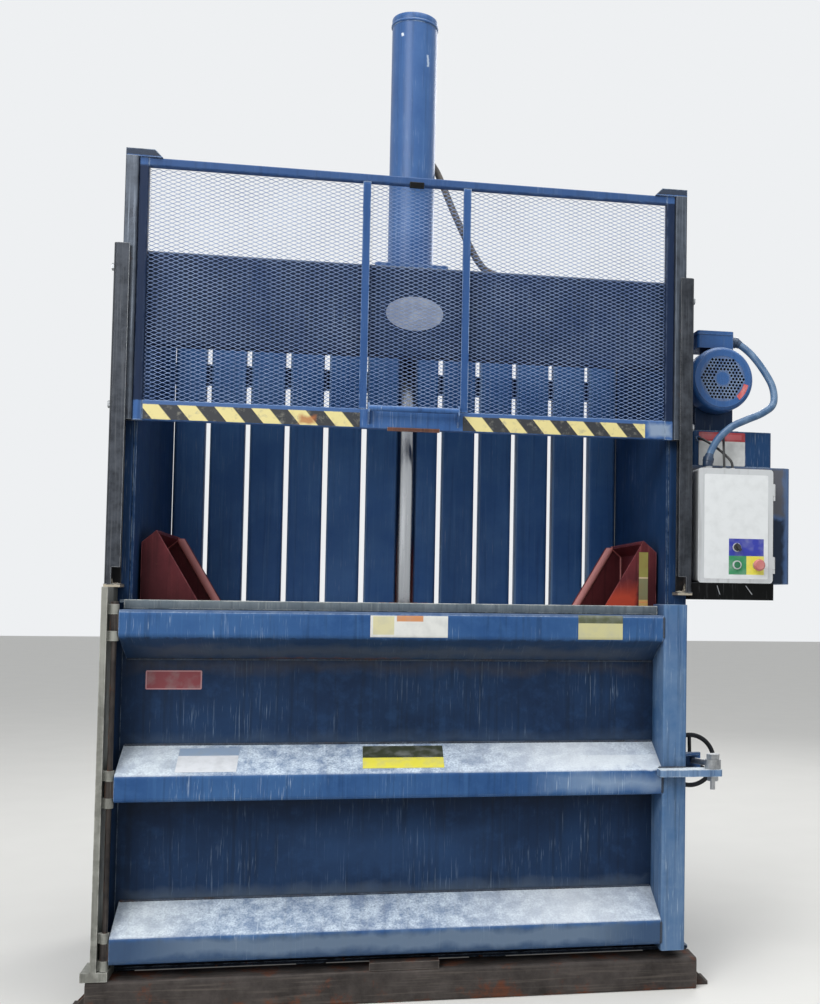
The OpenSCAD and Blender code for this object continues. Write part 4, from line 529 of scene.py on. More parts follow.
def mouldedPlastic(name, look):
    # Moulded plastic or extruded rubber left outdoors: one colour, dulled and dusty
    tree, here = startFinish(name)
    maps = weatherMaps(tree, here, {"dust": (look["patch"], 6, 0.5), "grain": (1.5, 2, 0.5)}, {}, {
        "dusty": ("dust", 0.4, 0.7, 0, look["dustiness"]),
        "rough": ("dust", 0.3, 0.7, look["roughness"] - 0.08, look["roughness"] + 0.1),
    })
    tone = addNode(tree, "Mix", {0: maps["dusty"], 6: look["base"], 7: look["dust"]}, data_type="RGBA")
    bumped = addNode(tree, "Bump", {"Height": maps["grain"], "Strength": 0.3, "Distance": 0.1 * mm})
    shader = addNode(tree, "BsdfPrincipled", {"Base Color": tone.outputs[2], "Roughness": maps["rough"],
                                              "Normal": bumped.outputs[0], "IOR": look["ior"]})
    addNode(tree, "OutputMaterial", {"Surface": shader.outputs[0]})


def printedVinyl(name, look):
    # Printed vinyl sheet, sun-bleached: a smooth film, plain fields of colour, nothing written.
    # A field is (x from, x to, z from, z to, colour) in millimetres; later fields lie on earlier.
    tree, here = startFinish(name)
    maps = weatherMaps(tree, here, {"sun": (35, 6, 0.5)}, {}, {
        "aged": ("sun", 0.45, 0.7, 0, look["ageing"]), "rough": ("sun", 0.3, 0.7, 0.35, 0.6),
    })
    layers = []
    for xFrom, xTo, zFrom, zTo, tone in look["fields"]:
        centre = ((xFrom + xTo) / 2 * mm, 0, (zFrom + zTo) / 2 * mm)
        half = (2000 / (xTo - xFrom), 0, 2000 / (zTo - zFrom))
        moved = addNode(tree, "VectorMath", {0: here, 1: centre}, operation="SUBTRACT")
        scaled = addNode(tree, "VectorMath", {0: moved.outputs[0], 1: half}, operation="MULTIPLY")
        size = addNode(tree, "VectorMath", {0: scaled.outputs[0]}, operation="ABSOLUTE")
        parts = addNode(tree, "SeparateXYZ", {0: size.outputs[0]})
        outer = addNode(tree, "Math", {0: parts.outputs[0], 1: parts.outputs[2]}, operation="MAXIMUM")
        inside = addNode(tree, "Math", {0: outer.outputs[0], 1: 1.0}, operation="LESS_THAN")
        layers.append((inside.outputs[0], tone))
    layers.append((maps["aged"], look["dirt"]))
    colour = look["base"]
    for mask, tone in layers:
        colour = addNode(tree, "Mix", {0: mask, 6: colour, 7: tone}, data_type="RGBA").outputs[2]
    shader = addNode(tree, "BsdfPrincipled", {"Base Color": colour, "Roughness": maps["rough"],
                                              "IOR": 1.54})
    addNode(tree, "OutputMaterial", {"Surface": shader.outputs[0]})


def hazardTape(name, look):
    # Self-adhesive tape with slanted stripes, scuffed. Stripe = sawtooth of x plus z times the lean
    tree, here = startFinish(name)
    maps = weatherMaps(tree, here, {"wear": (22, 8, 0.7)}, {}, {"lost": ("wear", 0.54, 0.66, 0, 0.5)})
    parts = addNode(tree, "SeparateXYZ", {0: here})
    leaned = addNode(tree, "Math", {0: parts.outputs[2], 1: look["lean"], 2: parts.outputs[0]},
                     operation="MULTIPLY_ADD")
    turns = addNode(tree, "Math", {0: leaned.outputs[0], 1: 1000 / look["pitch"]}, operation="MULTIPLY")
    share = addNode(tree, "Math", {0: turns.outputs[0]}, operation="FRACT")
    stripe = addNode(tree, "MapRange", {0: share.outputs[0], 1: 0.5 - look["edge"], 2: 0.5 + look["edge"]})
    layers = [(stripe.outputs[0], look["black"]), (maps["lost"], look["scuffed"])]
    layers += [zoneLayer(tree, here, zone) for zone in look["zones"]]
    colour = look["yellow"]
    for mask, tone in layers:
        colour = addNode(tree, "Mix", {0: mask, 6: colour, 7: tone}, data_type="RGBA").outputs[2]
    shader = addNode(tree, "BsdfPrincipled", {"Base Color": colour, "Roughness": 0.5})
    addNode(tree, "OutputMaterial", {"Surface": shader.outputs[0]})


plastics = {
    "blackNylon": {"base": "#1b1c1e", "dust": "#4a4a48", "roughness": 0.5, "ior": 1.53},
    "greenAcetal": {"base": "#1f6b45", "dust": "#4f8f6c", "roughness": 0.4, "ior": 1.48},
    "redAcetal": {"base": "#b9605c", "dust": "#d39c98", "roughness": 0.45, "ior": 1.48},
    "bluePvc": {"base": "#35597f", "dust": "#7f9ab4", "roughness": 0.4, "ior": 1.53},
    "glandNylon": {"base": "#1d3049", "dust": "#4c6583", "roughness": 0.4, "ior": 1.53},
    "hoseRubber": {"base": "#2f2c29", "dust": "#6b6054", "roughness": 0.72, "ior": 1.52},
    "caughtChaff": {"base": "#6a6256", "dust": "#d8d2c2", "roughness": 0.9, "ior": 1.5, "patch": 9,
                    "dustiness": 0.95},
}
for plasticName, changes in plastics.items():
    mouldedPlastic(plasticName, {"patch": 40, "dustiness": 0.5, **changes})
hardChrome("hardChrome", {"dark": "#8f9296", "light": "#c9cccf", "wipes": (14, 14, 380),
                          "roughness": (0.1, 0.3)})
hazardTape("hazardTape", {
    "lean": 0.83, "pitch": 114, "edge": 0.015, "yellow": "#ddd090", "black": "#25282d",
    "scuffed": "#8f8d80", "zones": [
        ((-372, -310, -460, -430, 1808, 1846), "#a8622f", 0.8, (14, 4, 10), 12),
        # the tape stops short of the rail's top edge
        ((-900, 900, -470, -430, 1857, 1880), "#33588c", 1.0, (2, 2, 2), 1),
    ],
})
printedVinyl("levelTape", {
    # one yellow tape: the yellow-green stretch is painted shade and the orange-yellow stretch painted
    # sunlight; the two thin lines are its marks
    "base": "#7d7a55", "ageing": 0.4, "dirt": "#8a6a3a",
    "fields": [(800, 832, 1340, 1428, "#8f8a40"), (800, 832, 1223, 1262, "#cfa860"),
               (800, 832, 1336, 1341, "#cdb792"), (800, 832, 1251, 1256, "#e0965c")],
})

nodeFinish = {
    "bluePaint": ["crosshead", "receiver", "back_rails"],
    "haspPaint": ["hasp"],
    "hingePaint": ["hinge_plate"],
    "chamberPaintShaded": ["side_wall_left", "side_wall_right"],
    "slatPaint": ["back_slats"],
    "headerPaintShaded": ["header_panel"],
    "postPaint": ["latch_post"],
    "skinPaintDirtyAndShaded": ["door_skin"],
    "ribPaint": ["door_ribs"],
    "gatePaint": ["gate_frame", "gate_handle"],
    "cylinderPaint": ["cylinder_tube", "cylinder_cap"],
    "basePaint": ["base_frame", "floor_plate", "floor_slats"],
    "tankPaint": ["oil_tank"],
    "pumpPaint": ["pump_box", "motor_mount"],
    "motorPaint": ["motor_body", "fan_cover", "terminal_box"],
    "redPaint": ["platen", "wing_left", "wing_right", "rod_flange"],
    "blackPaint": ["pack_shelf"],
    "greyEnamel": ["control_box", "box_door"],
    "guideSteel": ["guide_left", "guide_right"],
    "railSteel": ["gate_rails"],
    "bareSteel": ["cylinder_gland", "piston"],
    "hingeSteel": ["hinge_rod", "door_knuckles"],
    "rustySteel": ["front_sill", "anchor_feet"],
    "zincSteel": ["frame_bolts", "hasp_bolt", "screw_eye", "latch_screw"],
    "castBlack": ["handwheel"],
    "meshPaint": ["gate_mesh"],
    "hardChrome": ["piston_rod"],
    "blackNylon": ["gate_pads", "filler_cap", "motor_fan", "selector"],
    "greenAcetal": ["start_button"],
    "redAcetal": ["stop_button"],
    "bluePvc": ["conduit"],
    "hoseRubber": ["hose_cap", "hose_gland", "control_cables"],
    "hazardTape": ["hazard_strips"],
    "levelTape": ["level_strip"],
}
for finishName, members in nodeFinish.items():
    for member in members:
        slots = nodes[member].data.materials
        slots.clear()
        slots.append(materials[finishName])
print("materials made:", len(materials))


# Shapes
sharpFrom = math.radians(40)     # edges that turn more than this stay sharp


def addPiece(name, points, faces, finish, body, smooth=True):
    # points is an (n, 3) array in millimetres
    mesh = bpy.data.meshes.new(name)
    mesh.from_pydata((np.asarray(points) * mm).tolist(), [], faces)
    mesh.update()
    if smooth:
        mesh.polygons.foreach_set("use_smooth", np.ones(len(mesh.polygons), bool))
        mesh.set_sharp_from_angle(angle=sharpFrom)
    mesh.materials.append(materials[finish])
    piece = bpy.data.objects.new(name, mesh)
    bpy.context.scene.collection.objects.link(piece)
    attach(piece, body)
    return piece


def gridFaces(rows, columns):
    # quads of a grid whose points run row by row, its last column joined to the first
    row = np.arange(rows - 1)[:, None] * columns
    column = np.arange(columns)[None, :]
    following = (column + 1) % columns
    quads = np.stack([row + column, row + following, row + columns + following, row + columns + column], -1)
    return quads.reshape(-1, 4).tolist()


def routeLine(points, steps):
    # the part's own smooth line through the points: a cubic on each stretch, whose slope at a
    # point is half the step between the point's two neighbours
    p = np.asarray(points, float)
    i = np.arange(len(p) - 1)
    a, b, c, d = p[np.maximum(i - 1, 0)], p[i], p[i + 1], p[np.minimum(i + 2, len(p) - 1)]
    t = (np.arange(steps) / steps)[None, :, None]
    a, b, c, d = (q[:, None, :] for q in (a, b, c, d))
    line = 0.5 * (2 * b + (c - a) * t + (2 * a - 5 * b + 4 * c - d) * t ** 2
                  + (3 * b - a - 3 * c + d) * t ** 3)
    return np.vstack([line.reshape(-1, 3), p[-1]])


def pathFrames(path):
    # two directions square to the path at each point, which turn as little as the path lets them:
    # the first is what is left, off the tangent, of the direction the path travels least
    tangent = np.gradient(path, axis=0)
    tangent /= np.linalg.norm(tangent, axis=1, keepdims=True)
    least = np.linalg.svd(tangent)[2][-1]
    first = least - (tangent @ least)[:, None] * tangent
    first /= np.linalg.norm(first, axis=1, keepdims=True)
    return first, np.cross(tangent, first)


def tubeAlong(path, radius, sides):
    # ring of points at each path point: centre + radius (cos a first + sin a second)
    first, second = pathFrames(path)
    angle = np.linspace(0, 2 * np.pi, sides, endpoint=False)[None, :, None]
    radius = np.broadcast_to(np.asarray(radius, float), (len(path),))[:, None, None]
    outward = np.cos(angle) * first[:, None, :] + np.sin(angle) * second[:, None, :]
    return path[:, None, :] + radius * outward


def outwardPiece(name, points, faces, finish, body, smooth=True):
    # a piece whose faces are turned outwards by the sign of its enclosed volume
    points = np.asarray(points, float)
    corners = [(f[0], f[k], f[k + 1]) for f in faces for k in range(1, len(f) - 1)]
    tri = points[np.array(corners)]
    volume = np.einsum("ij,ij->i", tri[:, 0], np.cross(tri[:, 1], tri[:, 2])).sum()
    if volume < 0:
        faces = [f[::-1] for f in faces]
    return addPiece(name, points, faces, finish, body, smooth)


def tubePiece(name, rings, finish, body, smooth=True):
    # rings of points joined one to the next, with a flat cap at both ends
    rows, sides = rings.shape[:2]
    faces = gridFaces(rows, sides)
    faces.append(list(range(sides))[::-1])
    faces.append([(rows - 1) * sides + k for k in range(sides)])
    return outwardPiece(name, rings.reshape(-1, 3), faces, finish, body, smooth)


def turnedPiece(name, profile, base, axis, finish, body, sides):
    # (radius, height) pairs spun about an axis: base + height axis + radius (cos a u + sin a v)
    profile = np.array(profile, float)
    axis = np.array(axis, float) / np.linalg.norm(axis)
    u = np.cross(axis, (0.31, 0.59, 0.74))
    u /= np.linalg.norm(u)
    v = np.cross(axis, u)
    angle = np.linspace(0, 2 * np.pi, sides, endpoint=False)[None, :, None]
    radius, height = profile[:, 0, None, None], profile[:, 1, None, None]
    rings = np.array(base, float) + height * axis + radius * (np.cos(angle) * u + np.sin(angle) * v)
    return tubePiece(name, rings, finish, body)


def barPiece(name, x, y, z, radius, finish, body):
    # rounded rectangle in y and z carried along x
    outline = roundedOutline((y[1] - y[0]) / 2, (z[1] - z[0]) / 2, radius)
    rings = np.empty((2, len(outline), 3))
    rings[..., 0] = np.array(x, float)[:, None]
    rings[..., 1:] = outline + ((y[0] + y[1]) / 2, (z[0] + z[1]) / 2)
    tubePiece(name, rings, finish, body)


def roundedOutline(halfWidth, halfHeight, radius, steps=6):
    # corner arcs of the given radius, anticlockwise
    corner = np.radians(np.array([0, 90, 180, 270]))[:, None] + np.linspace(0, np.pi / 2, steps)[None, :]
    signX = np.array([1, -1, -1, 1])[:, None]
    signY = np.array([1, 1, -1, -1])[:, None]
    u = signX * (halfWidth - radius) + radius * np.cos(corner)
    v = signY * (halfHeight - radius) + radius * np.sin(corner)
    return np.stack([u.ravel(), v.ravel()], -1)


# Cords, hoses and conduit
cordDetail = {"stepsPerPoint": 10, "sides": 16, "fittingSides": 18}
cords = {
    "motorConduit": {
        "node": "conduit", "fitting": "gland", "diameter": 26, "finish": "bluePvc", "slot": "conduit_pvc",
        "points": [
            (1144.5, -232, 2197), (1175, -236, 2197), (1222, -255, 2155), (1264, -275, 2092),
            (1290, -293, 2030), (1284, -315, 1968), (1236, -335, 1930), (1176, -350, 1903),
            (1116, -362, 1874), (1064, -375, 1830), (1032, -385, 1780), (1020, -390, 1740),
            (1020, -390, 1728),
        ],
    },
    "capHose": {
        "node": "hose_cap", "fitting": "hose", "diameter": 25, "finish": "hoseRubber",
        "slot": "hose_rubber",
        "points": [
            (0, 122.5, 3300), (0, 152, 3300), (3, 180, 3284), (7, 188, 3245), (11, 178, 3190),
            (18, 152, 3110), (28, 122, 3020), (62, 100, 2920),
            (92, 52, 2850), (112, -15, 2775), (150, -60, 2665), (200, -95, 2545), (250, -130, 2450),
            (300, -172, 2408), (400, -205, 2375), (560, -220, 2350), (700, -215, 2358),
            (800, -200, 2385), (880, -185, 2402), (945, -165, 2388), (972, -135, 2330),
            (978, -80, 2240), (984, -10, 2140), (1000, 50, 2030), (1016, 78, 1930),
            (1024, 74, 1850), (1026, 45, 1806), (1026, 18, 1798),
        ],
    },
    "glandHose": {
        "node": "hose_gland", "fitting": "hose", "diameter": 25, "finish": "hoseRubber",
        "slot": "hose_rubber",
        "points": [
            (0, 122.5, 2232), (0, 150, 2232), (22, 182, 2262), (90, 200, 2315), (250, 208, 2335),
            (480, 210, 2340), (680, 208, 2355), (800, 204, 2385), (880, 200, 2402), (948, 194, 2384),
            (980, 186, 2310), (1000, 170, 2180), (1030, 142, 2040), (1066, 112, 1920),
            (1086, 82, 1838), (1090, 48, 1804), (1090, 18, 1798),
        ],
    },
    "leftCable": {
        "node": "control_cables", "fitting": None, "diameter": 9, "finish": "blackNylon",
        "slot": "black_plastic",
        "points": [
            (1010, -312, 1836), (1024, -330, 1828), (1052, -352, 1806), (1084, -372, 1776),
            (1106, -386, 1748), (1110, -390, 1724),
        ],
    },
    "rightCable": {
        "node": None, "fitting": None, "diameter": 9, "finish": "blackNylon", "slot": "black_plastic",
        "points": [
            (1096, -312, 1850), (1094, -332, 1842), (1086, -362, 1810), (1080, -384, 1772),
            (1080, -390, 1724),
        ],
    },
}
fittings = {
    # finish, and (radius, distance from the cord's end): a nut, a bent steel elbow and a crimped
    # ferrule on a hose; a gland on a conduit
    "hose": ("zincSteel", [
        (17.6, 1), (17.6, 19), (13.4, 21), (13.4, 84), (15.4, 86), (15.4, 100), (14.4, 102),
        (15.4, 104), (15.4, 118), (14.4, 120), (15.4, 122), (15.4, 134), (12.7, 136),
    ]),
    "gland": ("glandNylon", [(18, 1), (18, 15), (19.5, 16), (19.5, 30), (16.5, 32), (14, 44)]),
}


def fittingPiece(name, path, finish, profile):
    # radius as a function of distance along the cord's own line, from the line's first point
    known = np.concatenate([[0], np.cumsum(np.linalg.norm(np.diff(path, axis=0), axis=1))])
    radius, distance = np.array(profile, float).T
    at = np.union1d(distance, np.arange(distance[0], distance[-1], 5.0))
    centres = np.stack([np.interp(at, known, path[:, k]) for k in range(3)], -1)
    rings = tubeAlong(centres, np.interp(at, distance, radius), cordDetail["fittingSides"])
    return tubePiece(name, rings, finish, "root")


for cordName, look in cords.items():
    line = routeLine(look["points"], cordDetail["stepsPerPoint"])
    rings = tubeAlong(line, look["diameter"] / 2, cordDetail["sides"])
    piece = tubePiece(cordName, rings, look["finish"], "root")
    if look["node"]:
        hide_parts(look["node"])
    ends = []
    if look["fitting"]:
        ends = [fittingPiece(cordName + "Start", line, *fittings[look["fitting"]]),
                fittingPiece(cordName + "End", line[::-1], *fittings[look["fitting"]])]
print("cords made")

# Gate mesh
# Raised expanded metal, half inch: 30.5 mm long way, 12.7 mm short way. Each strand is a zigzag
# line, and its crests meet the next strand's troughs at the bonds.
gateMesh = {
    "longWay": 30.48, "shortWay": 12.7, "strandWidth": 1.8, "strandDepth": 1.8, "bondShare": 0.16,
    "bondGap": 0.45,         # in strand widths, between the lines of two strands at a bond
    "lean": (0.6, 0.4), "overrun": 20, "leastStep": 0.01, "y": -430.5, "bottom": 1870, "top": 2624,
    "panels": {"meshPanelLeft": (-850, -165), "meshPanelMiddle": (-165, 165),
               "meshPanelRight": (165, 850)},
}


def meshPanel(name, xFrom, xTo, look):
    # strand j: z = bottom + half a short way (j + 1) + (-1)^j reach wave(x), where the wave goes
    # between 1 and -1 and is flat at each bond
    quarter = look["longWay"] / 4
    flat = look["bondShare"] * look["longWay"] / 2
    periods = int(math.ceil((xTo - xFrom) / look["longWay"])) + 1
    first = math.floor(xFrom / look["longWay"]) * look["longWay"]
    knots = np.array([-flat, flat, 2 * quarter - flat, 2 * quarter + flat])
    heights = np.array([1.0, 1.0, -1.0, -1.0])
    x = (first + np.arange(periods)[:, None] * look["longWay"] + knots[None, :]).ravel()
    wave = np.tile(heights, periods)
    keep = (x > xFrom - look["overrun"]) & (x < xTo + look["overrun"])
    x, wave = np.clip(x[keep], xFrom, xTo), wave[keep]
    x[1:] = np.maximum(x[1:], x[:-1] + look["leastStep"])
    rows = int((look["top"] - look["bottom"]) / (look["shortWay"] / 2)) - 1
    count = np.arange(rows)[:, None]
    reach = (look["shortWay"] / 2 - look["strandWidth"] * look["bondGap"]) / 2
    centre = look["bottom"] + look["shortWay"] / 2 * (count + 1)
    z = centre + reach * wave[None, :] * np.where(count % 2 == 0, 1, -1)
    # section: a flat bar leaning back, four corners round the strand's line
    halfW, halfD = look["strandWidth"] / 2, look["strandDepth"] / 2
    tall, deep = look["lean"]
    corners = np.array([[-halfD, -halfW * tall], [halfD * deep, -halfW], [halfD, halfW * tall],
                        [-halfD * deep, halfW]])
    points = np.empty((rows, len(x), 4, 3))
    points[..., 0] = x[None, :, None]
    points[..., 1] = look["y"] + corners[:, 0][None, None, :]
    points[..., 2] = z[:, :, None] + corners[:, 1][None, None, :]
    strand = np.array(gridFaces(len(x), 4))
    size = len(x) * 4
    faces = (strand[None] + np.arange(rows)[:, None, None] * size).reshape(-1, 4).tolist()
    caps = np.array([[3, 2, 1, 0], [size - 4, size - 3, size - 2, size - 1]])
    faces += (caps[None] + np.arange(rows)[:, None, None] * size).reshape(-1, 4).tolist()
    return outwardPiece(name, points.reshape(-1, 3), faces, "meshPaint", "gate", False)


for panelName, (xFrom, xTo) in gateMesh["panels"].items():
    panel = meshPanel(panelName, xFrom, xTo, gateMesh)
    if panelName == "meshPanelLeft":
        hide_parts("gate_mesh")
print("gate mesh made")


# Labels
labelGap = 0.1     # mm between a label's back and its face, so that both show


def ellipseOutline(halfWidth, halfHeight, steps=64):
    # points (half width cos a, half height sin a), anticlockwise
    angle = np.linspace(0, 2 * np.pi, steps, endpoint=False)
    return np.stack([halfWidth * np.cos(angle), halfHeight * np.sin(angle)], -1)


def flatLabel(name, loops, centre, thickness, finish, body):
    # a thin plate that looks at -Y: the loops (an outline, then holes) in x and z about the centre,
    # doubled by the thickness, with a wall along each loop
    plane = np.vstack(loops)
    back = np.array(centre, float) + np.insert(plane, 1, 0, axis=1)
    count = len(plane)
    turned = []
    for a, b, c in tessellate_polygon([[Vector((*point, 0)) for point in loop] for loop in loops]):
        area = np.cross(plane[b] - plane[a], plane[c] - plane[a])
        turned.append((a, b, c) if area > 0 else (a, c, b))
    faces = [[a + count, b + count, c + count] for a, b, c in turned]
    faces += [[a, c, b] for a, b, c in turned]
    start = 0
    for loop in loops:
        ring = np.arange(len(loop))
        following = (ring + 1) % len(loop)
        near, far = ring + start, following + start
        walls = np.stack([near, far, far + count, near + count], -1)
        x, y = loop[:, 0], loop[:, 1]
        clockwise = (x * np.roll(y, -1) - np.roll(x, -1) * y).sum() < 0
        if clockwise == (start == 0):
            walls = walls[:, ::-1]
        faces += walls.tolist()
        start += len(loop)
    addPiece(name, np.vstack([back, back - (0, thickness, 0)]), faces, finish, body, False)


# Sheets on flat faces that look at -Y: x range, z range, the face's y, and fields of colour; one
# without a corner radius is an oval
frontLabels = {
    "skinLabel": {"x": (-820, -649), "z": (959, 1019), "y": -411, "body": "door", "base": "#ad7b7f",
                  "fields": [(-816, -653, 963, 1015, "#7d3038")], "ageing": 0.35, "dirt": "#8d8f8e"},
    "pumpLabel": {"x": (1014, 1185), "z": (1742, 1861), "y": -300, "base": "#d4d5d3",
                  "fields": [(1014, 1185, 1829, 1861, "#a63238"), (1026, 1172, 1836, 1854, "#b5555a")],
                  "ageing": 0.35, "dirt": "#8d8f8e"},
    # blank, as are the two above
    "headerOval": {"x": (-95, 95), "z": (2147, 2261), "y": -395, "corner": None, "thickness": 1.2,
                   "vinyl": "ovalVinyl", "base": "#8b93a3", "ageing": 0.5, "dirt": "#b4b8c0"},
    # round the three controls: holes are x, z and radius
    "controlPlacard": {"x": (991, 1219), "z": (1338, 1696), "y": -450, "corner": 6, "body": "box_lid",
                       "slot": "grey_enamel", "vinyl": "placardVinyl",
                       "holes": [(1107, 1386, 15.3), (1180, 1386, 15.3), (1107, 1446, 15.3)],
                       "base": "#dfe2e3", "ageing": 0.25, "dirt": "#b9bcbc",
                       "fields": [(1079, 1204, 1417, 1476, "#2a35a0"), (1079, 1142, 1353, 1417, "#2c8a58"),
                                  (1142, 1205, 1353, 1417, "#e5dc52")]},
}
for labelName, look in frontLabels.items():
    look = {"corner": 4, "thickness": 0.6, "body": "root", "slot": None, "vinyl": labelName + "Vinyl",
            "holes": [], "fields": [], **look}
    printedVinyl(look["vinyl"], look)
    middle = (sum(look["x"]) / 2, look["y"] - labelGap, sum(look["z"]) / 2)
    half = [(look[axis][1] - look[axis][0]) / 2 for axis in "xz"]
    loops = [roundedOutline(*half, look["corner"]) if look["corner"] else ellipseOutline(*half)]
    for x, z, radius in look["holes"]:
        loops.append(ellipseOutline(radius, radius, 24)[::-1] + (x - middle[0], z - middle[2]))
    flatLabel(labelName, loops, middle, look["thickness"], look["vinyl"], look["body"])
print("flat labels made")

# Labels on the ribs follow the bent sheet round its corners
ribShape = {"front": -560, "skin": -411, "face": 80, "slope": 76, "bend": 14}
ribFilm = 0.8     # a label's thickness there, mm


def ribSection(z, over):
    # outside of a rib's section as (y, z) points from the skin round the face and back, each
    # corner replaced by an arc that is tangent to both sides
    front, skin, face, slope = (ribShape[k] for k in ("front", "skin", "face", "slope"))
    corners = [(skin, z + face + slope), (front, z + face), (front, z), (skin, z)]
    if over:
        corners = [(skin, z), (front, z), (front, z - face), (skin, z - face - slope)]
    corners = np.array(corners, float)
    line = [corners[:1]]
    for a, b, c in zip(corners[:-2], corners[1:-1], corners[2:]):
        u, v = (b - a) / np.linalg.norm(b - a), (c - b) / np.linalg.norm(c - b)
        turn = math.atan2(u[0] * v[1] - u[1] * v[0], u @ v)
        side = np.sign(turn)
        left = np.array([-u[1], u[0]]) * side
        centre = b - u * ribShape["bend"] * math.tan(abs(turn) / 2) + left * ribShape["bend"]
        swing = np.linspace(0, abs(turn), 9)[:, None]
        line.append(centre - ribShape["bend"] * (left * np.cos(swing) - u * np.sin(swing)))
    line.append(corners[-1:])
    return np.vstack(line)


def wrappedLabel(name, look, finish):
    # patch of the rib's outside between two distances along its section and two x values, set
    # proud by the film's thickness: the section line carried along X
    line = ribSection(*look["rib"])
    step = np.linalg.norm(np.diff(line, axis=0), axis=1)
    distance = np.concatenate([[0], np.cumsum(step)])
    along = np.linspace(*look["along"], 40)
    y, z = (np.interp(along, distance, line[:, k]) for k in (0, 1))
    heading = np.gradient(np.stack([y, z], -1), axis=0)
    heading /= np.linalg.norm(heading, axis=1, keepdims=True)
    out = np.stack([heading[:, 1], -heading[:, 0]], -1)
    if out[:, 0].mean() > 0:
        out = -out
    back = np.stack([y, z], -1) + out * labelGap
    section = np.concatenate([back + out * ribFilm, back[::-1]])
    x = np.linspace(*look["x"], 2)
    points = np.empty((2, len(section), 3))
    points[..., 0] = x[:, None]
    points[..., 1:] = section[None]
    tubePiece(name, points, finish, "door", False)


ribLabels = {
    # rib (z, turned over), distances along its section from the skin, x range, colours
    "topWideLabel": {"rib": (1212, True), "along": (153, 221), "x": (-127, 116),
                     "base": "#d9dad6",
                     "fields": [(-45, 38, 1184, 1220, "#c98a5c"), (-119, -53, 1142, 1200, "#cfc9a0")]},
    "topSquareLabel": {"rib": (1212, True), "along": (144, 224), "x": (538, 685),
                       "base": "#c6c190", "fields": [(538, 685, 1184, 1230, "#4c5238")]},
    "slopeNotice": {"rib": (629, False), "along": (22, 150), "x": (-707, -525),
                    "base": "#dfe2e6", "fields": [(-707, -525, 757, 790, "#8fa3bb")]},
    "slopeCaution": {"rib": (629, False), "along": (18, 140), "x": (-141, 115),
                     "base": "#e9e04f", "fields": [(-141, 115, 748, 790, "#3a3f2c")]},
}
for labelName, look in ribLabels.items():
    printedVinyl(labelName + "Vinyl", {**look, "ageing": 0.3, "dirt": "#9fa3a4"})
    wrappedLabel(labelName, look, labelName + "Vinyl")
print("rib labels made")

# Welds
weldLook = {"radius": 4.0, "ripple": 12.0, "swell": 0.18, "tip": 0.15, "sides": 8, "stepsPerRipple": 5}


def weldBead(name, path, body, look):
    # fillet bead: a tube whose radius swells once per ripple and tapers at both ends; the
    # ripples are 12 mm apart, twice the real ones, so that they show
    radius = look["radius"]
    path = np.asarray(path, float)
    length = np.linalg.norm(np.diff(path, axis=0), axis=1)
    total = length.sum()
    rows = max(int(total / look["ripple"]) * look["stepsPerRipple"], 12)
    at = np.linspace(0, total, rows)
    known = np.concatenate([[0], np.cumsum(length)])
    line = np.stack([np.interp(at, known, path[:, k]) for k in range(3)], -1)
    taper = np.clip(np.minimum(at, total - at) / radius, look["tip"], 1)
    ripple = np.abs(np.sin(np.pi * at / look["ripple"]))
    swell = radius * taper * (1 - look["swell"] + look["swell"] * ripple)
    rings = tubeAlong(line, swell, look["sides"])
    tubePiece(name, rings, "weldSteel", body)


ribEnds = (-880, 824)
welds = {
    "weldRibLowTop": ([(x, -413, 303) for x in ribEnds], "door"),
    "weldRibMidTop": ([(x, -413, 786) for x in ribEnds], "door"),
    "weldRibHighFoot": ([(x, -413, 1055) for x in ribEnds], "door"),
    "weldRibLowFoot": ([(x, -413, 145) for x in ribEnds], "door"),
    "weldRibMidFoot": ([(x, -413, 628) for x in ribEnds], "door"),
    "weldPostLow": ([(824, -559, z) for z in (150, 222)], "door"),
    "weldPostMid": ([(824, -559, z) for z in (633, 705)], "door"),
    "weldPostHigh": ([(824, -559, z) for z in (1136, 1208)], "door"),
    "weldHaspTop": ([(x, -561, 717) for x in (808, 902)], "door"),
    "weldHaspFoot": ([(x, -561, 693) for x in (808, 902)], "door"),
    "weldShelf": ([(947, y, 1325) for y in (-446, -302)], "root"),
    "weldReceiverTop": ([(947, y, 740) for y in (-359, -345)], "root"),
}
for weldName, (path, body) in welds.items():
    weldBead(weldName, path, body, weldLook)

# Ring of weld and plate that close the cylinder's top; the rim's points are measured from the plate's
# radius and top
capLook = {
    "foot": 3350.5, "inside": 60, "tube": 83, "ringZ": 3358, "ringBulge": 3.5, "ringRise": 5,
    "plateFoot": 3366, "plate": 83.6, "top": 3386, "rim": [(0, -5), (-1.6, -1.4), (-5, 0)],
}
turn = np.linspace(-np.pi / 2, np.pi / 2, 9)
ringProfile = np.stack([capLook["tube"] + capLook["ringBulge"] * np.cos(turn),
                        capLook["ringZ"] + capLook["ringRise"] * np.sin(turn)], -1)
capProfile = np.vstack([
    [(capLook["inside"], capLook["foot"]), (capLook["tube"], capLook["foot"])], ringProfile,
    [(capLook["plate"], capLook["plateFoot"])],
    np.array(capLook["rim"]) + (capLook["plate"], capLook["top"]),
])
cap = turnedPiece("cylinderEnd", capProfile, (0, 0, 0), (0, 0, 1), "cylinderPaint", "root", 64)
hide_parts("cylinder_cap")
print("welds and cylinder end made")

# Motor's fan cover: a drawn cup with a hexagon of punched holes round a plain centre
coverLook = {
    "centre": (1091, 2049), "front": -330, "back": -240, "radius": 115, "bend": 18, "wall": 2,
    "sides": 72, "faceRadius": 96, "hubRadius": 29, "hubPlate": 24, "rimRadii": (102, 81),
    "holesReach": 80, "pitch": 12.8, "rowStep": 0.866, "rows": 8, "holeRadius": 5.2,
    "grilleProud": 0.3, "ringThickness": 0.8,
}


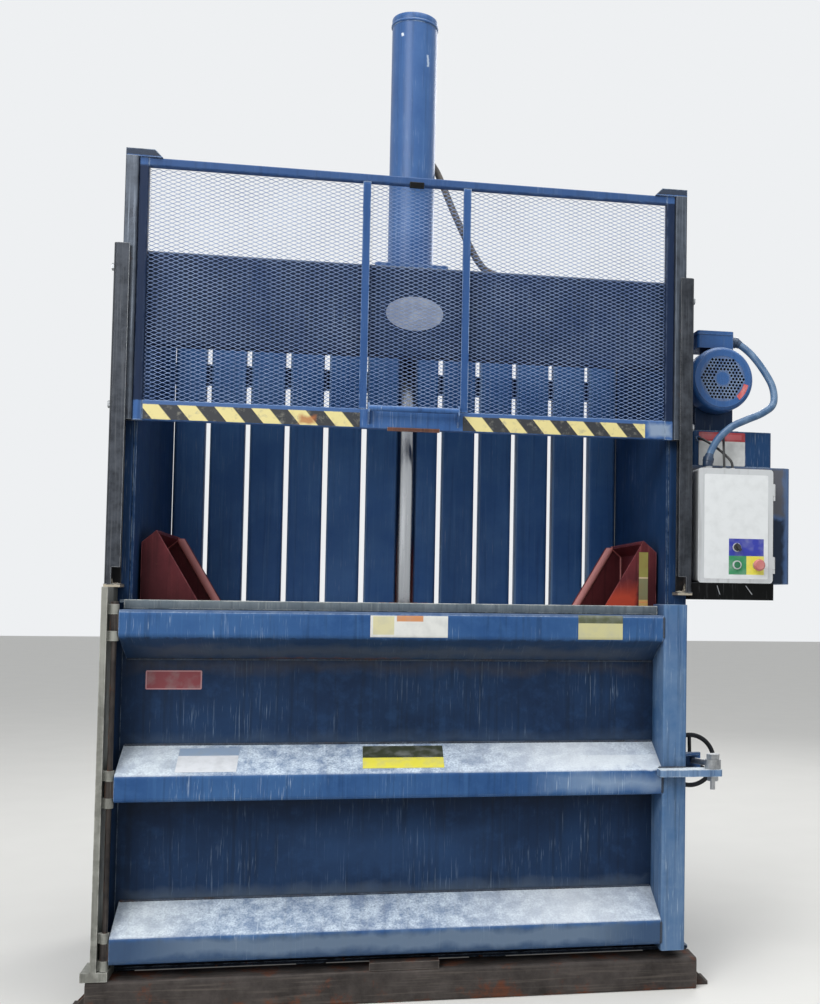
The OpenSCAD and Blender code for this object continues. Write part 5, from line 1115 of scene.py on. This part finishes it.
def fanCover(look):
    # cup: outer and inner profiles spun about the motor's axis, joined at both ends; face: a plate
    # whose holes lie on a staggered lattice where max(|v|, 0.87 |u| + 0.5 |v|) < 0.87 reach
    bend, wall, radius, sides = (look[k] for k in ("bend", "wall", "radius", "sides"))
    swing = np.linspace(0, np.pi / 2, 7)
    front, back = look["front"], look["back"]
    outer = np.stack([radius - bend + bend * np.sin(swing), front + bend - bend * np.cos(swing)], -1)
    inner = np.stack([radius - bend + (bend - wall) * np.sin(swing),
                      front + bend - (bend - wall) * np.cos(swing)], -1)[::-1]
    loop = np.vstack([[(look["faceRadius"] - 1, front)], outer, [(radius, back), (radius - wall, back)],
                      inner, [(look["faceRadius"] - 1, front + wall)]])
    angle = np.linspace(0, 2 * np.pi, sides, endpoint=False)[:, None]
    points = np.stack([look["centre"][0] + loop[None, :, 0] * np.cos(angle),
                       np.broadcast_to(loop[None, :, 1], (sides, len(loop))),
                       look["centre"][1] + loop[None, :, 0] * np.sin(angle)], -1)
    faces = (np.array(gridFaces(sides + 1, len(loop))) % (sides * len(loop))).tolist()
    cup = outwardPiece("fanCover", points.reshape(-1, 3), faces, "motorPaint", "root")
    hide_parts("fan_cover")

    pitch, step = look["pitch"], look["rowStep"]
    count = np.arange(-look["rows"], look["rows"] + 1)
    row, column = np.meshgrid(count, count, indexing="ij")
    u = ((column + 0.5 * (row % 2)) * pitch).ravel()
    v = (row * pitch * step).ravel()
    inside = np.maximum(np.abs(v), step * np.abs(u) + 0.5 * np.abs(v)) < step * look["holesReach"]
    inside &= np.hypot(u, v) > look["hubRadius"]
    hole = ellipseOutline(look["holeRadius"], look["holeRadius"], 6)[::-1]
    loops = [ellipseOutline(look["faceRadius"], look["faceRadius"], sides)]
    loops += [hole + centre for centre in np.stack([u[inside], v[inside]], -1)]
    middle = (look["centre"][0], look["front"] + wall, look["centre"][1])
    flatLabel("fanGrille", loops, middle, wall + look["grilleProud"], "grillePaint", "root")
    proud = (middle[0], look["front"] - 2 * labelGap, middle[2])
    outer, inner = look["rimRadii"]
    rim = [ellipseOutline(outer, outer, sides), ellipseOutline(inner, inner, sides)[::-1]]
    hub = [ellipseOutline(look["hubPlate"], look["hubPlate"], 36)]
    for ringName, ringLoops in {"fanRim": rim, "fanHub": hub}.items():
        flatLabel(ringName, ringLoops, proud, look["ringThickness"], "motorPaint", "root")


fanCover(coverLook)

# Bare red tag on the cover, following its round edge
turnTag = {"radii": (79, 96), "angles": (-50, -12), "stand": 1.1, "thickness": 0.5,
           "base": "#c1383c", "fields": [], "ageing": 0.6, "dirt": "#e2b9b4"}
swing = np.radians(np.linspace(*turnTag["angles"], 12))
arc = np.stack([np.cos(swing), np.sin(swing)], -1)
tagOutline = np.vstack([arc * turnTag["radii"][1], arc[::-1] * turnTag["radii"][0]])
printedVinyl("tagVinyl", turnTag)
tagPlace = (coverLook["centre"][0], coverLook["front"] - turnTag["stand"], coverLook["centre"][1])
flatLabel("turnTag", [tagOutline], tagPlace, turnTag["thickness"], "tagVinyl", "root")
print("fan cover made")

# Latch screw's thread, 6 mm pitch, twice the real one so that it shows
threadLook = {
    "pivot": (985, -590, 731.3), "droop": 5, "from": 50, "to": 246, "radius": 9.1, "pitch": 6.0,
    "depth": 1.1, "rowsPerTurn": 8, "sides": 24,
}


def threadSkin(name, look):
    # radius = root + depth |2 frac(distance / pitch - angle / turn) - 1|, on a grid along the screw
    droop = math.radians(look["droop"])
    axis = np.array([0, math.cos(droop), -math.sin(droop)])
    side, up = np.array([1.0, 0, 0]), np.array([0, math.sin(droop), math.cos(droop)])
    distance = np.arange(look["from"], look["to"], look["pitch"] / look["rowsPerTurn"])[:, None]
    angle = np.linspace(0, 2 * np.pi, look["sides"], endpoint=False)[None, :]
    phase = distance / look["pitch"] - angle / (2 * np.pi)
    radius = look["radius"] + look["depth"] * np.abs(2 * (phase - np.floor(phase)) - 1)
    rings = (np.array(look["pivot"], float) + distance[..., None] * axis
             + radius[..., None] * (np.cos(angle)[..., None] * side + np.sin(angle)[..., None] * up))
    tubePiece(name, rings, "zincSteel", "latch", False)


threadSkin("latchThread", threadLook)

# Small fixed pieces: x range, y range, z range, radius of the long edges, finish, body
bars = {
    "handleStrip": ((-84, 86), (-448, -440), (1801.5, 1814), 2, "brownStrip", "gate"),
    "doorLip": ((-880, 822), (-477, -470), (1213, 1242), 2.5, "lipPaint", "door"),
    "railBracket": ((-27, 20), (-449, -440), (2611, 2631), 2, "blackPaint", "gate"),
}
for barName, look in bars.items():
    barPiece(barName, *look)

# Two slanted bright marks on the apron below the control box: x and z of both ends
apronMarks = {
    "y": -451, "radius": 1.7, "ends": {
        "apronMarkLeft": ((1048, 1284), (1038, 1314)), "apronMarkRight": ((1163, 1285), (1140, 1315)),
    },
}
for markName, (low, high) in apronMarks["ends"].items():
    path = np.linspace(np.insert(low, 1, apronMarks["y"]), np.insert(high, 1, apronMarks["y"]), 6)
    rings = tubeAlong(path, apronMarks["radius"], 10)
    tubePiece(markName, rings, "zincSteel", "root")

# Chaff in the feet of the guides, heaped beside the slide rail's path, and thin where the lowered
# rail comes down on it: x range and height of each pile
chaffLook = {
    "y": (-463, -405), "floor": 1290, "rows": 22, "columns": 26, "rim": 0.02, "mean": 0.6,
    "waves": [(0.25, 23, 9), (0.2, -17, 31), (0.15, 47, 53)],
    "piles": {
        "chaffLeft": ((-941, -926.5), 30), "chaffRight": ((926.5, 941), 34),
        "chaffLeftThin": ((-926, -901), 4.5), "chaffRightThin": ((901, 926), 4.5),
    },
}


def chaffPile(name, x, height, look):
    # dome times a sum of sines, carried along x:
    # z = floor + height root(sin(pi s) sin(pi t)) (mean + sum of amount sin(a s + b t))
    rows, columns, y, floor = (look[k] for k in ("rows", "columns", "y", "floor"))
    shares = (np.linspace(look["rim"], 1 - look["rim"], count) for count in (rows, columns))
    s, t = np.meshgrid(*shares, indexing="ij")
    waves = sum(amount * np.sin(a * s + b * t) for amount, a, b in look["waves"])
    top = floor + height * np.sqrt(np.sin(np.pi * s) * np.sin(np.pi * t)) * (look["mean"] + waves)
    rings = np.empty((rows, 2 * columns, 3))
    rings[..., 0] = x[0] + (x[1] - x[0]) * s[:, :1]
    rings[:, :columns, 1] = y[0] + (y[1] - y[0]) * t
    rings[:, :columns, 2] = top
    rings[:, columns:, 1] = rings[:, columns - 1::-1, 1]
    rings[:, columns:, 2] = floor - 0.5
    tubePiece(name, rings, "caughtChaff", "root", False)


for pileName, (x, height) in chaffLook["piles"].items():
    chaffPile(pileName, x, height, chaffLook)
print("small pieces made")

# End
bpy.context.view_layer.update()
